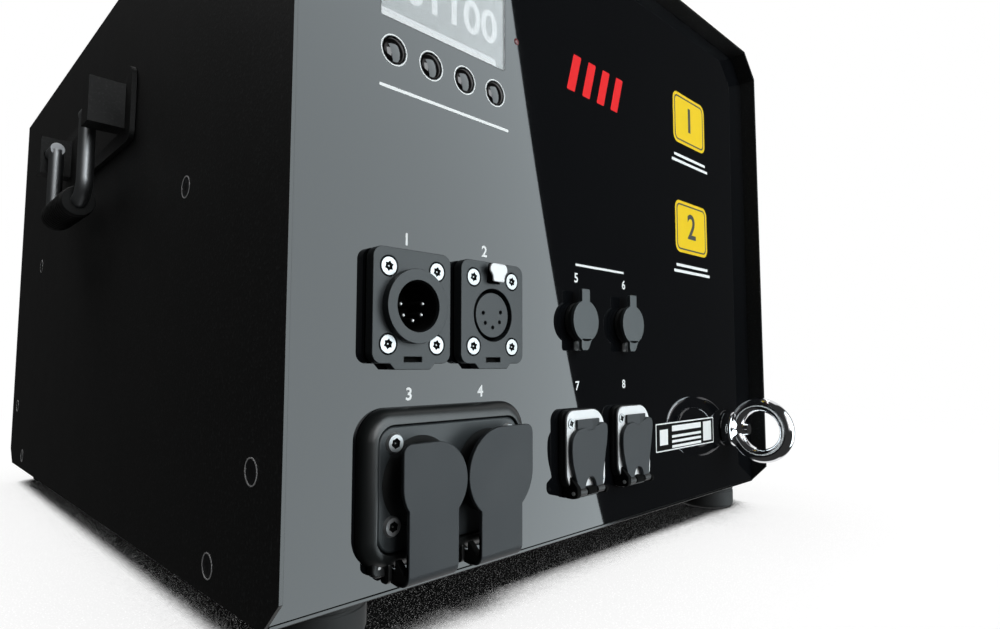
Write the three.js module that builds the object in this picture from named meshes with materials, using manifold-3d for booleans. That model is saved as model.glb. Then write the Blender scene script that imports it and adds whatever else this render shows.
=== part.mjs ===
// Stage flame machine: a folded steel box with a connector panel at the front and a burner cup in its roof.
// Units are millimetres. +Z is up, the panel faces -Y, and the machine stands on Z = 0.
// In the functions, Y = 0 is the front edge of the casing; the last lines centre the whole machine.
import * as THREE from "three";
import { mergeVertices } from "three/addons/utils/BufferGeometryUtils.js";
import Module from "manifold-3d";

const wasm = await Module();
wasm.setup();

// Fits and facets
const clearance = 0.3;
const overrun = 2;
const bury = 0.5;
const fineFacets = 26;
const roundFacets = 18;
const smallFacets = 12;
const pinFacets = 8;
const hexFacets = 6;
const arcSteps = 2;
const bendSteps = 3;

// Casing
const casingWidth = 304;
const casingHeight = 259.9;
const casingDepth = 420;
const sheet = 1.2;
const topChamfer = 13.2;
const rimDepth = 8.3;
const noseCut = 9.2;
const panelThickness = 3;
const panelFlange = 15;
const panelFlangeStop = 8;
const trayFlange = 18;
const bulkheadSetback = 86.5;
const wirePassRadius = 12;
const wirePassHeight = 60;

// Feet
const footHeight = 12.2;
const footRadius = 15;
const footEdge = 1.6;
const footInsetX = 25.4;
const footInsetY = 26;
const footBoltRadius = 5;
const footBoltDepth = 5;

// Carrying handles
const handleHeight = 196;
const handlePlateLength = 132;
const handlePlateHeight = 34;
const handlePlateThickness = 2;
const handlePlateCorner = 5;
const handleEarLength = 11;
const handleEarHeight = 20;
const handleEarProud = 14;
const handleEarSpan = 104;
const handlePivotProud = 9;
const handleRod = 3.4;
const handleDrop = 38;
const handleBend = 9;
const handleGripRadius = 7;
const handleGripLength = 66;

// Burner
const burnerSetback = 210;
const deckWidth = 200;
const deckLength = 160;
const deckThickness = 2;
const deckCorner = 8;
const deckLap = 12;
const burnerRadius = 36;
const burnerWall = 1.5;
const burnerDepth = 58;
const burnerFloor = 2;
const burnerLip = 10;
const burnerFlange = 12;
const burnerFlangeThickness = 2;
const burnerBead = 1.6;
const nozzleThread = 7;
const nozzleTail = 14;
const nozzleHex = 13;
const nozzleHexHeight = 9;
const nozzleNeck = 8.5;
const nozzleHeight = 26;
const tipRadius = 8;
const tipBase = 3;
const tipHeight = 9;
const tipFace = 3.2;
const orificeRadius = 1.4;
const orificeDepth = 5;
const insulatorOffset = 22;
const insulatorRadius = 4.5;
const insulatorBore = 1.5;
const insulatorCollar = 7;
const insulatorCollarHeight = 5;
const insulatorTail = 22;
const insulatorHeight = 24;
const insulatorRib = 1.1;
const insulatorRibPitch = 5;
const insulatorRibs = 2;
const electrodeRadius = 1.2;
const electrodeTail = 7;
const electrodeRise = 10;
const electrodeBend = 5;
const electrodeGap = 7;
const electrodeLift = 5;

// Fuel side
const tankWidth = 268;
const tankLength = 115;
const tankHeight = 150;
const tankCorner = 12;
const tankWall = 3;
const tankGap = 5;
const neckOffset = 95;
const neckSetback = 62;
const neckRadius = 17;
const neckBore = 13;
const neckProud = 12;
const capRadius = 25;
const capLobe = 1.1;
const capLobes = 12;
const capTop = 4;
const capFloat = 1;
const pumpOffset = 85;
const pumpAxisHeight = 34;
const pumpRadius = 22;
const pumpLength = 36;
const pumpFootHalf = 17;
const pumpInlet = 7;
const pumpOutlet = 7;
const pumpOutletRise = 9;
const motorRadius = 28;
const motorLength = 92;
const motorFootHalf = 20;
const motorBell = 23;
const motorBellLength = 5;
const couplingGap = 22;
const couplingRadius = 11;
const couplingShaft = 4;
const couplingInsert = 7;
const couplingPlay = 2;
const valveHalfWidth = 15.5;
const valveHalfLength = 14;
const valveHeight = 28;
const valveDrop = 3;
const coilRadius = 13;
const coilLength = 34;
const accumulatorOffset = 90;
const accumulatorGap = 17;
const accumulatorRadius = 31;
const accumulatorHeight = 112;
const accumulatorDome = 14;
const accumulatorFoot = 35;
const accumulatorFootHeight = 4;
const accumulatorPortRadius = 8;
const accumulatorPortHeight = 10;
const accumulatorPortLevel = 24;
const pipeRadius = 3;
const pipeBend = 10;
const feedPipeLevel = 100;
const feedPipeOffset = 20;

// Ignition
const transformerOffset = 92;
const transformerGap = 15;
const transformerWidth = 74;
const transformerLength = 62;
const transformerHeight = 50;
const transformerTower = 7;
const transformerTowerHeight = 12;
const transformerTowerSpacing = 32;
const leadRadius = 2.4;
const leadBend = 7;
const leadRun = 176;
const leadSpacing = 28;

// Electronics
const supplyOffset = 78;
const supplyWidth = 104;
const supplyHeight = 142;
const supplyDepth = 38;
const supplyBottom = 66;
const supplyTerminal = 12;
const supplyTerminalHeight = 18;
const boardOffset = 62;
const boardWidth = 134;
const boardHeight = 150;
const boardBottom = 96;
const boardThickness = 1.6;
const boardStandoff = 12;
const boardStandoffRadius = 3;
const boardStandoffInset = 7;
const relaySize = 18;
const relayHeight = 14;
const relayPitch = 26;
const relayCount = 4;
const chipSize = 22;
const chipHeight = 3;

// Display and keys
const keyboardX = -90;
const windowWidth = 57;
const windowHeight = 32;
const windowLevel = 210.6;
const windowFlange = 3;
const windowFlangeThickness = 1.2;
const lcdThickness = 6;
const displayBoardWidth = 74;
const displayBoardTop = 20;
const displayBoardBottom = 9;
const displayPostRadius = 2.4;
const displayPostInset = 4;
const keyPitch = 15.4;
const keyLevel = 184.35;
const keyCount = 4;
const keyRadius = 4.4;
const keyDome = 1;
const keyCrownShare = 0.5;
const keyCrownHeightShare = 0.82;
const keyShoulderShare = 0.85;
const keyShoulderHeightShare = 0.5;
const keyEdgeHeightShare = 0.25;
const keyFlange = 1.3;
const keyFlangeThickness = 1.2;
const keyStem = 2;
const keyStemLength = 3.2;
const keySwitchGap = 0.9;
const keySwitchSize = 6;

// Round data connectors
const dataPitch = 35.4;
const dataCentre = -89.85;
const dataLevel = 100.6;
const dataWidth = 30.6;
const dataHeight = 36;
const dataCorner = 3.4;
const dataProud = 4.5;
const dataLipTop = 8.8;
const dataLipBottom = 6.9;
const dataLipDepth = 1.9;
const dataSlotWidth = 7;
const dataSlotHeight = 1.6;
const dataSlotDrop = 16.7;
const dataSlotDepth = 1.8;
const dataBarrel = 11.4;
const dataBarrelLength = 17;
const plugRimRadius = 11.8;
const plugRimProud = 2.9;
const plugBore = 8.2;
const plugFloor = 9;
const plugFloorThickness = 4;
const pinRadius = 0.9;
const pinCircle = 4.4;
const pinTip = 4;
const jackBore = 9.4;
const jackInsert = 8;
const jackDrop = 0.8;
const jackSink = 0.6;
const jackHole = 0.9;
const jackHoleDepth = 8;
const pinAngles = [12, 168, 217, 270, 323];
const latchTopHalf = 3.9;
const latchBottomHalf = 2.4;
const latchBottom = 10.8;
const latchShoulder = 14.6;
const latchTop = 17.2;
const latchProud = 3;
const latchTravel = 2;
const latchRest = 0.5;

// Mains connectors and their rubber caps
const mainsCentre = -90;
const mainsLevel = 44.75;
const mainsWidth = 70;
const mainsHeight = 48.5;
const mainsCorner = 10;
const mainsProud = 5;
const mainsBevel = 4.6;
const mainsBevelSteps = 3;
const mainsPlateWidth = 60.8;
const mainsPlateHeight = 38.2;
const mainsPlateCorner = 6;
const mainsPlateSink = 0.5;
const mainsSocketPitch = 29.2;
const mainsSocketLevel = 46.2;
const mainsSocketRadius = 12.3;
const mainsSocketBore = 9.5;
const mainsSocketProud = 9.8;
const mainsSocketDepth = 12;
const mainsBarrelLength = 24;
const mainsBladeRadius = 1.6;
const mainsBladeCircle = 5.6;
const mainsBladeLength = 7;
const mainsBlades = 3;
const mainsInCapRadius = 12.6;
const mainsInCapShift = 0.7;
const mainsOutCapRadius = 15.2;
const mainsCapProud = 12.5;
const mainsCapThickness = 2.4;
const mainsCapCorner = 3;
const mainsCapPlug = 8;
const mainsCapPlugWall = 1.4;
const mainsCapPlugDepth = 1.2;
const strapWidth = 19.4;
const strapThickness = 1.5;
const strapHingeProud = 2.9;
const strapHingeLevel = 18.6;
const strapKnuckleRadius = 2.2;
const strapLoopRadius = 4.2;
const strapLoopLevel = 20.9;
const strapLoopWall = 1.7;
const strapPinRadius = 1;
const strapEarRise = 4.5;
const strapEarRadius = 2;
const strapEarWidth = 3;

// Pyro trigger sockets
const pyroPitch = 35.4;
const pyroCentre = -0.95;
const pyroLevel = 100.2;
const pyroCollar = 8;
const pyroCollarProud = 3.4;
const pyroBarrel = 6.5;
const pyroBore = 5;
const pyroDepth = 12;
const pyroPinRadius = 0.9;
const pyroPinLength = 4;
const pyroPinHalf = 2;
const pyroBarrelLength = 20;
const pyroTongueHalf = 2.75;
const pyroTongueDrop = 12.4;
const pyroTongueThickness = 0.5;
const pyroCapRadius = 8.6;
const pyroCapThickness = 1.6;
const pyroTabWidth = 5.3;
const pyroTabTop = 13.4;
const pyroTabThickness = 1.2;
const pyroStrapWidth = 5.5;
const pyroHingeDrop = 10.8;
const pyroHingeProud = 2.5;
const pyroKnuckle = 1.4;

// Arming sockets with flip covers
const armPitch = 35.5;
const armCentre = -0.5;
const armLevel = 46.1;
const armWidth = 26;
const armTop = 17.8;
const armBottom = 15.5;
const armScrewCorner = 4.5;
const armOpenCorner = 9.5;
const armProud = 4.3;
const armBarrel = 10.5;
const armBarrelLength = 22;
const armBore = 8;
const armDepth = 9;
const armPinRadius = 1;
const armPinLength = 4;
const armPinCircle = 4;
const armPins = 4;
const armTabHalf = 7.4;
const armTabTop = 13.8;
const armTabProud = 0.6;
const armCoverTop = 10;
const armCoverLine = [
  [8.3, -14.8],
  [8.5, -10.5],
  [9.1, -6.5],
  [10.1, -2],
  [11.2, 3],
  [12, 8],
  [11.4, 11],
  [8.6, 12],
  [4.5, 10.9],
  [0, 10.5],
  [-5, 10.4],
  [-9, 9.2],
  [-11.5, 6.2],
  [-12.1, 2],
  [-11.7, -2.5],
  [-10.6, -6.5],
  [-9.2, -10.5],
  [-8.3, -14.8],
];
const armCoverSteps = 44;
const armLegHalf = 8.3;
const armLegBottom = 14.8;
const armArchHalf = 3.75;
const armArchTop = 9.4;
const armCoverThickness = 2;
const armKnuckle = 1.5;
const armHingePin = 0.7;
const armLugHalf = 2.9;
const armTongueHalf = 8.5;
const armTongueDrop = 2.3;
const armTongueProud = 3.7;
const armTongueCorner = 3;

// Safety eye
const eyeX = 119.4;
const eyeLevel = 46;
const eyeReach = 19.4;
const eyeRing = 13.85;
const eyeSection = 3.75;
const eyeCollar = 10;
const eyeCollarHeight = 6;
const eyeCollarEdge = 1.2;
const eyeShank = 4;
const eyeNut = 7;
const eyeNutHeight = 6;

// Places that follow from the sizes above
const casingTop = footHeight + casingHeight;
const chamferInsetShare = 2 - Math.SQRT2;
const fitInset = sheet + clearance;
const fitHalf = casingWidth / 2 - fitInset;
const trayTop = footHeight + sheet;
const trayFlangeTop = footHeight + trayFlange;
const floorLevel = trayTop + clearance;
const panelBack = rimDepth + panelThickness;
const rearPanelFront = casingDepth - panelBack;
const deckTop = casingTop + clearance + deckThickness;
const cupBottom = deckTop - burnerDepth;
const cupFloor = cupBottom + burnerFloor;
const tankFront = rearPanelFront - tankGap - tankLength;
const neckY = tankFront + neckSetback;
const pumpZ = floorLevel + pumpAxisHeight;
const pumpBack = tankFront - clearance - pumpInlet;
const pumpFront = pumpBack - pumpLength;
const motorBack = pumpFront - couplingGap;
const accumulatorSetback = bulkheadSetback + sheet + accumulatorGap + accumulatorFoot;
const transformerSetback = accumulatorSetback + accumulatorFoot + transformerGap;
const valveTop = cupBottom - valveDrop;
const valveFront = burnerSetback - valveHalfLength;

// Finishes, as on the real machine
const finishes = {
  powderCoat: { color: "#17181a", roughness: 0.62, metalness: 0.1 },
  glossPanel: { color: "#0b0c0d", roughness: 0.08, metalness: 0.1 },
  rubber: { color: "#1a1b1c", roughness: 0.75, metalness: 0 },
  darkPlastic: { color: "#3f4445", roughness: 0.55, metalness: 0 },
  nickel: { color: "#c8c9c9", roughness: 0.25, metalness: 1 },
  chrome: { color: "#e3e4e6", roughness: 0.06, metalness: 1 },
  stainless: { color: "#b4b6b8", roughness: 0.35, metalness: 1 },
  brass: { color: "#b98d3e", roughness: 0.3, metalness: 1 },
  ceramic: { color: "#ece8df", roughness: 0.4, metalness: 0 },
  zincSteel: { color: "#a9acae", roughness: 0.45, metalness: 1 },
  polyethylene: { color: "#dcdcd2", roughness: 0.5, metalness: 0 },
  circuitBoard: { color: "#1e5a34", roughness: 0.5, metalness: 0 },
  clearWindow: { color: "#c9ced0", roughness: 0.05, metalness: 0 },
};

// Solids from three.js geometries
function solid(geometry) {
  const loose = geometry.index ? geometry.toNonIndexed() : geometry;
  const places = new THREE.BufferGeometry();
  places.setAttribute("position", loose.getAttribute("position"));
  const merged = mergeVertices(places);
  const corners = merged.index.array;
  const kept = [];
  for (let i = 0; i < corners.length; i += 3) {
    const [a, b, c] = corners.slice(i, i + 3);
    if (a !== b && b !== c && c !== a) kept.push(a, b, c);
  }
  const build = (triangles) =>
    new wasm.Manifold(
      new wasm.Mesh({
        numProp: 3,
        vertProperties: merged.attributes.position.array,
        triVerts: new Uint32Array(triangles),
      }),
    );
  const made = build(kept);
  return made.volume() > 0 ? made : build(kept.reverse());
}

function geometryOf(body) {
  const mesh = body.getMesh();
  const geometry = new THREE.BufferGeometry();
  geometry.setAttribute("position", new THREE.BufferAttribute(mesh.vertProperties, 3));
  geometry.setIndex(new THREE.BufferAttribute(mesh.triVerts, 1));
  geometry.computeVertexNormals();
  return geometry;
}

function block(x0, x1, y0, y1, z0, z1) {
  const box = new THREE.BoxGeometry(x1 - x0, y1 - y0, z1 - z0);
  return solid(box.translate((x0 + x1) / 2, (y0 + y1) / 2, (z0 + z1) / 2));
}

function outline(points) {
  return new THREE.Shape(points.map(([a, b]) => new THREE.Vector2(a, b)));
}

function roundedRectangle(width, height, radius, x = 0, z = 0) {
  const shape = new THREE.Shape();
  const right = x + width / 2 - radius;
  const left = x - width / 2 + radius;
  const top = z + height / 2 - radius;
  const bottom = z - height / 2 + radius;
  shape.absarc(right, top, radius, 0, Math.PI / 2);
  shape.absarc(left, top, radius, Math.PI / 2, Math.PI);
  shape.absarc(left, bottom, radius, Math.PI, Math.PI * 1.5);
  shape.absarc(right, bottom, radius, Math.PI * 1.5, Math.PI * 2);
  return shape;
}

// A prism along Y of a shape drawn as (x, z)
function prismY(shape, y0, y1) {
  const settings = { depth: y1 - y0, bevelEnabled: false, curveSegments: arcSteps };
  const prism = new THREE.ExtrudeGeometry(shape, settings);
  return solid(prism.rotateX(Math.PI / 2).translate(0, y1, 0));
}

// A prism along X of a shape drawn as (y, z)
function prismX(shape, x0, x1) {
  const settings = { depth: x1 - x0, bevelEnabled: false, curveSegments: arcSteps };
  const prism = new THREE.ExtrudeGeometry(shape, settings);
  const turn = new THREE.Matrix4().makeBasis(
    new THREE.Vector3(0, 1, 0),
    new THREE.Vector3(0, 0, 1),
    new THREE.Vector3(1, 0, 0),
  );
  return solid(prism.applyMatrix4(turn).translate(x0, 0, 0));
}

// A prism along Z of a shape drawn as (x, y)
function prismZ(shape, z0, z1) {
  const settings = { depth: z1 - z0, bevelEnabled: false, curveSegments: arcSteps };
  return solid(new THREE.ExtrudeGeometry(shape, settings).translate(0, 0, z0));
}

function rodY(radius, x, z, y0, y1, facets = roundFacets) {
  const rod = new THREE.CylinderGeometry(radius, radius, y1 - y0, facets);
  return solid(rod.translate(x, (y0 + y1) / 2, z));
}

function rodX(radius, y, z, x0, x1, facets = roundFacets) {
  const rod = new THREE.CylinderGeometry(radius, radius, x1 - x0, facets);
  return solid(rod.rotateZ(Math.PI / 2).translate((x0 + x1) / 2, y, z));
}

function rodZ(radius, x, y, z0, z1, facets = roundFacets) {
  const rod = new THREE.CylinderGeometry(radius, radius, z1 - z0, facets);
  return solid(rod.rotateX(Math.PI / 2).translate(x, y, (z0 + z1) / 2));
}

// A turned piece about a Y axis, from its half section as (radius, y)
function turnedY(profile, x, z, facets = roundFacets) {
  const points = profile.map(([radius, y]) => new THREE.Vector2(radius, y));
  return solid(new THREE.LatheGeometry(points, facets).translate(x, 0, z));
}

// A turned piece about a Z axis, from its half section as (radius, z)
function turnedZ(profile, x, y, facets = roundFacets) {
  const points = profile.map(([radius, z]) => new THREE.Vector2(radius, z));
  return solid(new THREE.LatheGeometry(points, facets).rotateX(Math.PI / 2).translate(x, y, 0));
}

// A run of straights and round bends, with a station at each end and along each bend
class BentRun extends THREE.Curve {
  constructor(corners, bend) {
    super();
    const at = corners.map(([x, y, z]) => new THREE.Vector3(x, y, z));
    this.stations = [at[0]];
    for (let i = 1; i < at.length - 1; i += 1) {
      const before = at[i].clone().add(at[i - 1].clone().sub(at[i]).setLength(bend));
      const after = at[i].clone().add(at[i + 1].clone().sub(at[i]).setLength(bend));
      this.stations.push(...new THREE.QuadraticBezierCurve3(before, at[i], after).getPoints(bendSteps));
    }
    this.stations.push(at[at.length - 1]);
  }

  getUtoTmapping(share) {
    return share;
  }

  getPoint(share, target = new THREE.Vector3()) {
    const place = share * (this.stations.length - 1);
    const index = Math.min(Math.floor(place), this.stations.length - 2);
    return target.lerpVectors(this.stations[index], this.stations[index + 1], place - index);
  }
}

// A pipe or bent rod through corner points
function pipe(corners, radius, bend, facets = pinFacets) {
  const route = new BentRun(corners, bend);
  const section = [];
  for (let i = 0; i < facets; i += 1) {
    const angle = (2 * Math.PI * i) / facets;
    section.push([radius * Math.cos(angle), radius * Math.sin(angle)]);
  }
  const settings = { steps: route.stations.length - 1, extrudePath: route };
  return solid(new THREE.ExtrudeGeometry(outline(section), settings));
}

const machine = new THREE.Group();

function piece(name, body, finish) {
  const material = new THREE.MeshStandardMaterial(finishes[finish]);
  const mesh = new THREE.Mesh(geometryOf(body), material);
  mesh.name = name;
  machine.add(mesh);
}

// Casing: the roof line of the folded cover, moved inwards by a gap
function roofLine(inset, bottom) {
  const side = casingWidth / 2 - inset;
  const top = casingTop - inset;
  const leg = topChamfer - inset * chamferInsetShare;
  return [
    [-side, bottom],
    [-side, top - leg],
    [-side + leg, top],
    [side - leg, top],
    [side, top - leg],
    [side, bottom],
  ];
}

function mirroredInDepth(points) {
  return points.map(([y, z]) => [casingDepth - y, z]);
}

function cover() {
  const outside = roofLine(0, footHeight);
  const inside = roofLine(sheet, footHeight).reverse();
  const folded = prismY(outline([...outside, ...inside]), 0, casingDepth);
  const nose = [
    [-overrun, footHeight - overrun],
    [noseCut + overrun, footHeight - overrun],
    [-overrun, footHeight + noseCut + overrun],
  ];
  const across = casingWidth / 2 + overrun;
  const frontCut = prismX(outline(nose), -across, across);
  const rearCut = prismX(outline(mirroredInDepth(nose)), -across, across);
  const openHalf = deckWidth / 2 - deckLap;
  const openLength = deckLength / 2 - deckLap;
  const burnerOpening = block(
    -openHalf,
    openHalf,
    burnerSetback - openLength,
    burnerSetback + openLength,
    casingTop - sheet - overrun,
    casingTop + overrun,
  );
  const neckHole = rodZ(
    neckRadius + clearance,
    neckOffset,
    neckY,
    casingTop - sheet - overrun,
    casingTop + overrun,
  );
  return folded.subtract(frontCut).subtract(rearCut).subtract(burnerOpening).subtract(neckHole);
}

function baseTray() {
  let tray = block(-fitHalf, fitHalf, rimDepth, casingDepth - rimDepth, footHeight, trayTop);
  for (const side of [-1, 1]) {
    const outer = side * fitHalf;
    const inner = side * (fitHalf - sheet);
    const wall = block(
      Math.min(outer, inner),
      Math.max(outer, inner),
      panelBack + clearance,
      rearPanelFront - clearance,
      footHeight,
      trayFlangeTop,
    );
    tray = tray.add(wall);
  }
  return tray;
}

// A sheet inside the cover with a folded flange down each side, reaching from y0 to y1
function sideFlanges(plate, y0, y1) {
  let flanged = plate;
  for (const side of [-1, 1]) {
    const outer = side * fitHalf;
    const inner = side * (fitHalf - sheet);
    const flange = block(
      Math.min(outer, inner),
      Math.max(outer, inner),
      y0,
      y1,
      trayFlangeTop + clearance,
      casingTop - topChamfer - panelFlangeStop,
    );
    flanged = flanged.add(flange);
  }
  return flanged;
}

function frontPanel() {
  const plate = prismY(outline(roofLine(fitInset, floorLevel)), rimDepth, panelBack);
  let panel = sideFlanges(plate, panelBack - bury, panelBack + panelFlange);
  const from = rimDepth - overrun;
  const to = panelBack + overrun;
  const windowSize = roundedRectangle(windowWidth, windowHeight, sheet, keyboardX, windowLevel);
  panel = panel.subtract(prismY(windowSize, from, to));
  const hole = (radius, x, z, facets) => {
    panel = panel.subtract(rodY(radius + clearance, x, z, from, to, facets));
  };
  keyPlaces().forEach((x) => hole(keyRadius, x, keyLevel, smallFacets));
  pairPlaces(dataCentre, dataPitch).forEach((x) => hole(dataBarrel, x, dataLevel));
  pairPlaces(mainsCentre, mainsSocketPitch).forEach((x) => hole(mainsSocketRadius, x, mainsSocketLevel));
  pairPlaces(pyroCentre, pyroPitch).forEach((x) => hole(pyroBarrel, x, pyroLevel, smallFacets));
  pairPlaces(armCentre, armPitch).forEach((x) => hole(armBarrel, x, armLevel));
  hole(eyeShank, eyeX, eyeLevel, smallFacets);
  return panel;
}

function rearPanel() {
  const back = casingDepth - rimDepth;
  const plate = prismY(outline(roofLine(fitInset, floorLevel)), rearPanelFront, back);
  return sideFlanges(plate, rearPanelFront - panelFlange, rearPanelFront + bury);
}

function midBulkhead() {
  const back = bulkheadSetback + sheet;
  const plate = prismY(outline(roofLine(fitInset, floorLevel)), bulkheadSetback, back);
  let wall = sideFlanges(plate, bulkheadSetback - panelFlange, bulkheadSetback + bury);
  for (const side of [-1, 1]) {
    const inner = side * (fitHalf - sheet - clearance);
    const outer = side * (fitHalf + overrun);
    const notch = block(
      Math.min(inner, outer),
      Math.max(inner, outer),
      bulkheadSetback - overrun,
      back + overrun,
      floorLevel - overrun,
      trayFlangeTop + clearance,
    );
    wall = wall.subtract(notch);
  }
  const pass = rodY(wirePassRadius, 0, wirePassHeight, bulkheadSetback - overrun, back + overrun);
  return wall.subtract(pass);
}

function foot(x, y) {
  const top = footHeight - clearance;
  const profile = [
    [0, footBoltDepth],
    [footBoltRadius, footBoltDepth],
    [footBoltRadius, 0],
    [footRadius - footEdge, 0],
    [footRadius, footEdge],
    [footRadius, top],
    [0, top],
  ];
  return turnedZ(profile, x, y, roundFacets);
}

// Carrying handles: a plate with two ears on the side sheet, and a bail that hangs from it
function handlePivot(side) {
  return side * (casingWidth / 2 + clearance + handlePlateThickness + handlePivotProud);
}

function handleBracket(side) {
  const face = casingWidth / 2 + clearance;
  const front = face + handlePlateThickness;
  const middle = casingDepth / 2;
  const plateShape = roundedRectangle(
    handlePlateLength,
    handlePlateHeight,
    handlePlateCorner,
    middle,
    handleHeight,
  );
  let bracket = prismX(plateShape, face, front);
  for (const end of [-1, 1]) {
    const y = middle + (end * handleEarSpan) / 2;
    const ear = block(
      front - bury,
      front + handleEarProud,
      y - handleEarLength / 2,
      y + handleEarLength / 2,
      handleHeight - handleEarHeight / 2,
      handleHeight + handleEarHeight / 2,
    );
    const socket = rodY(
      handleRod + clearance,
      handlePivot(1),
      handleHeight,
      Math.min(y, y - (end * (handleEarLength / 2 + overrun))),
      Math.max(y, y - (end * (handleEarLength / 2 + overrun))),
      smallFacets,
    );
    bracket = bracket.add(ear.subtract(socket));
  }
  return side > 0 ? bracket : mirroredAcross(bracket);
}

// The same body on the other side of the machine
function mirroredAcross(body) {
  const mesh = body.getMesh();
  const places = Float32Array.from(mesh.vertProperties, (value, i) => (i % 3 === 0 ? -value : value));
  const geometry = new THREE.BufferGeometry();
  geometry.setAttribute("position", new THREE.BufferAttribute(places, 3));
  geometry.setIndex(new THREE.BufferAttribute(mesh.triVerts, 1));
  return solid(geometry);
}

function handle(side) {
  const x = handlePivot(side);
  const middle = casingDepth / 2;
  const earFace = handleEarSpan / 2 - handleEarLength / 2;
  const pinEnd = earFace + handleEarLength / 2 - clearance;
  const leg = earFace - handleRod - clearance - handleBend;
  const low = handleHeight - handleDrop;
  const route = [
    [x, middle - pinEnd, handleHeight],
    [x, middle - leg, handleHeight],
    [x, middle - leg, low],
    [x, middle + leg, low],
    [x, middle + leg, handleHeight],
    [x, middle + pinEnd, handleHeight],
  ];
  const bail = pipe(route, handleRod, handleBend);
  const grip = rodY(
    handleGripRadius,
    x,
    low,
    middle - handleGripLength / 2,
    middle + handleGripLength / 2,
    smallFacets,
  );
  return bail.add(grip);
}

// Burner
function topDeck() {
  const shape = roundedRectangle(deckWidth, deckLength, deckCorner, 0, burnerSetback);
  const plate = prismZ(shape, casingTop + clearance, deckTop);
  const hole = rodZ(
    burnerRadius + clearance,
    0,
    burnerSetback,
    casingTop - overrun,
    deckTop + overrun,
    fineFacets,
  );
  return plate.subtract(hole);
}

function burnerCup() {
  const flangeBottom = deckTop + clearance;
  const flangeTop = flangeBottom + burnerFlangeThickness;
  const lip = deckTop + burnerLip;
  const bore = burnerRadius - burnerWall;
  const profile = [
    [0, cupBottom],
    [burnerRadius, cupBottom],
    [burnerRadius, flangeBottom],
    [burnerRadius + burnerFlange, flangeBottom],
    [burnerRadius + burnerFlange, flangeTop],
    [burnerRadius, flangeTop],
    [burnerRadius, lip - 2 * burnerBead],
    [burnerRadius + burnerBead, lip - burnerBead],
    [burnerRadius, lip],
    [bore, lip],
    [bore, cupFloor],
    [0, cupFloor],
  ];
  let cup = turnedZ(profile, 0, burnerSetback, fineFacets);
  const holes = [
    [0, nozzleThread],
    [-insulatorOffset, insulatorRadius],
    [insulatorOffset, insulatorRadius],
  ];
  holes.forEach(([x, radius]) => {
    const through = rodZ(
      radius + clearance,
      x,
      burnerSetback,
      cupBottom - overrun,
      cupFloor + overrun,
      smallFacets,
    );
    cup = cup.subtract(through);
  });
  return cup;
}

function nozzleBody() {
  const hexBottom = cupFloor + clearance;
  const hexTop = hexBottom + nozzleHexHeight;
  const tail = rodZ(nozzleThread, 0, burnerSetback, cupBottom - nozzleTail, hexTop, smallFacets);
  const hex = rodZ(nozzleHex, 0, burnerSetback, hexBottom, hexTop, hexFacets);
  const neck = rodZ(nozzleNeck, 0, burnerSetback, hexTop - bury, cupFloor + nozzleHeight, smallFacets);
  return tail.add(hex).add(neck);
}

function nozzleTip() {
  const base = cupFloor + nozzleHeight + clearance;
  const top = base + tipHeight;
  const profile = [
    [0, base],
    [tipRadius, base],
    [tipRadius, base + tipBase],
    [tipFace, top],
    [orificeRadius, top],
    [orificeRadius, top - orificeDepth],
    [0, top - orificeDepth],
  ];
  return turnedZ(profile, 0, burnerSetback, smallFacets);
}

function insulator(side) {
  const bottom = cupBottom - insulatorTail;
  const collar = cupFloor + clearance;
  const collarTop = collar + insulatorCollarHeight;
  const top = cupFloor + insulatorHeight;
  const profile = [
    [insulatorBore, bottom],
    [insulatorRadius, bottom],
    [insulatorRadius, collar],
    [insulatorCollar, collar],
    [insulatorCollar, collarTop],
    [insulatorRadius, collarTop],
  ];
  for (let i = 0; i < insulatorRibs; i += 1) {
    const rib = collarTop + (i + 0.5) * insulatorRibPitch;
    profile.push([insulatorRadius, rib]);
    profile.push([insulatorRadius + insulatorRib, rib + insulatorRib]);
    profile.push([insulatorRadius, rib + 2 * insulatorRib]);
  }
  profile.push([insulatorRadius, top]);
  profile.push([insulatorBore, top]);
  profile.push([insulatorBore, bottom]);
  return turnedZ(profile, side * insulatorOffset, burnerSetback, smallFacets);
}

function electrode(side) {
  const tipTop = cupFloor + nozzleHeight + clearance + tipHeight;
  const x = side * insulatorOffset;
  const route = [
    [x, burnerSetback, cupBottom - insulatorTail - electrodeTail],
    [x, burnerSetback, cupFloor + insulatorHeight + electrodeRise],
    [(side * electrodeGap) / 2, burnerSetback, tipTop + electrodeLift],
  ];
  return pipe(route, electrodeRadius, electrodeBend);
}

// Fuel side
function fuelTank() {
  const y = tankFront + tankLength / 2;
  const top = floorLevel + tankHeight;
  const neckTop = casingTop + neckProud;
  const shell = prismZ(roundedRectangle(tankWidth, tankLength, tankCorner, 0, y), floorLevel, top);
  const hollow = prismZ(
    roundedRectangle(tankWidth - 2 * tankWall, tankLength - 2 * tankWall, tankCorner - tankWall, 0, y),
    floorLevel + tankWall,
    top - tankWall,
  );
  const neck = rodZ(neckRadius, neckOffset, neckY, top - bury, neckTop);
  const bore = rodZ(neckBore, neckOffset, neckY, top - tankWall - bury, neckTop + overrun);
  return shell.subtract(hollow).add(neck).subtract(bore);
}

function fillerCap() {
  const neckTop = casingTop + neckProud;
  const bottom = casingTop + clearance + capFloat;
  const roof = neckTop + clearance;
  const rim = [];
  const points = capLobes * 4;
  for (let i = 0; i < points; i += 1) {
    const angle = (2 * Math.PI * i) / points;
    const radius = capRadius + capLobe * Math.cos(angle * capLobes);
    rim.push([neckOffset + radius * Math.cos(angle), neckY + radius * Math.sin(angle)]);
  }
  const knob = prismZ(outline(rim), bottom, roof + capTop);
  return knob.subtract(rodZ(neckRadius + clearance, neckOffset, neckY, bottom - overrun, roof));
}

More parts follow.
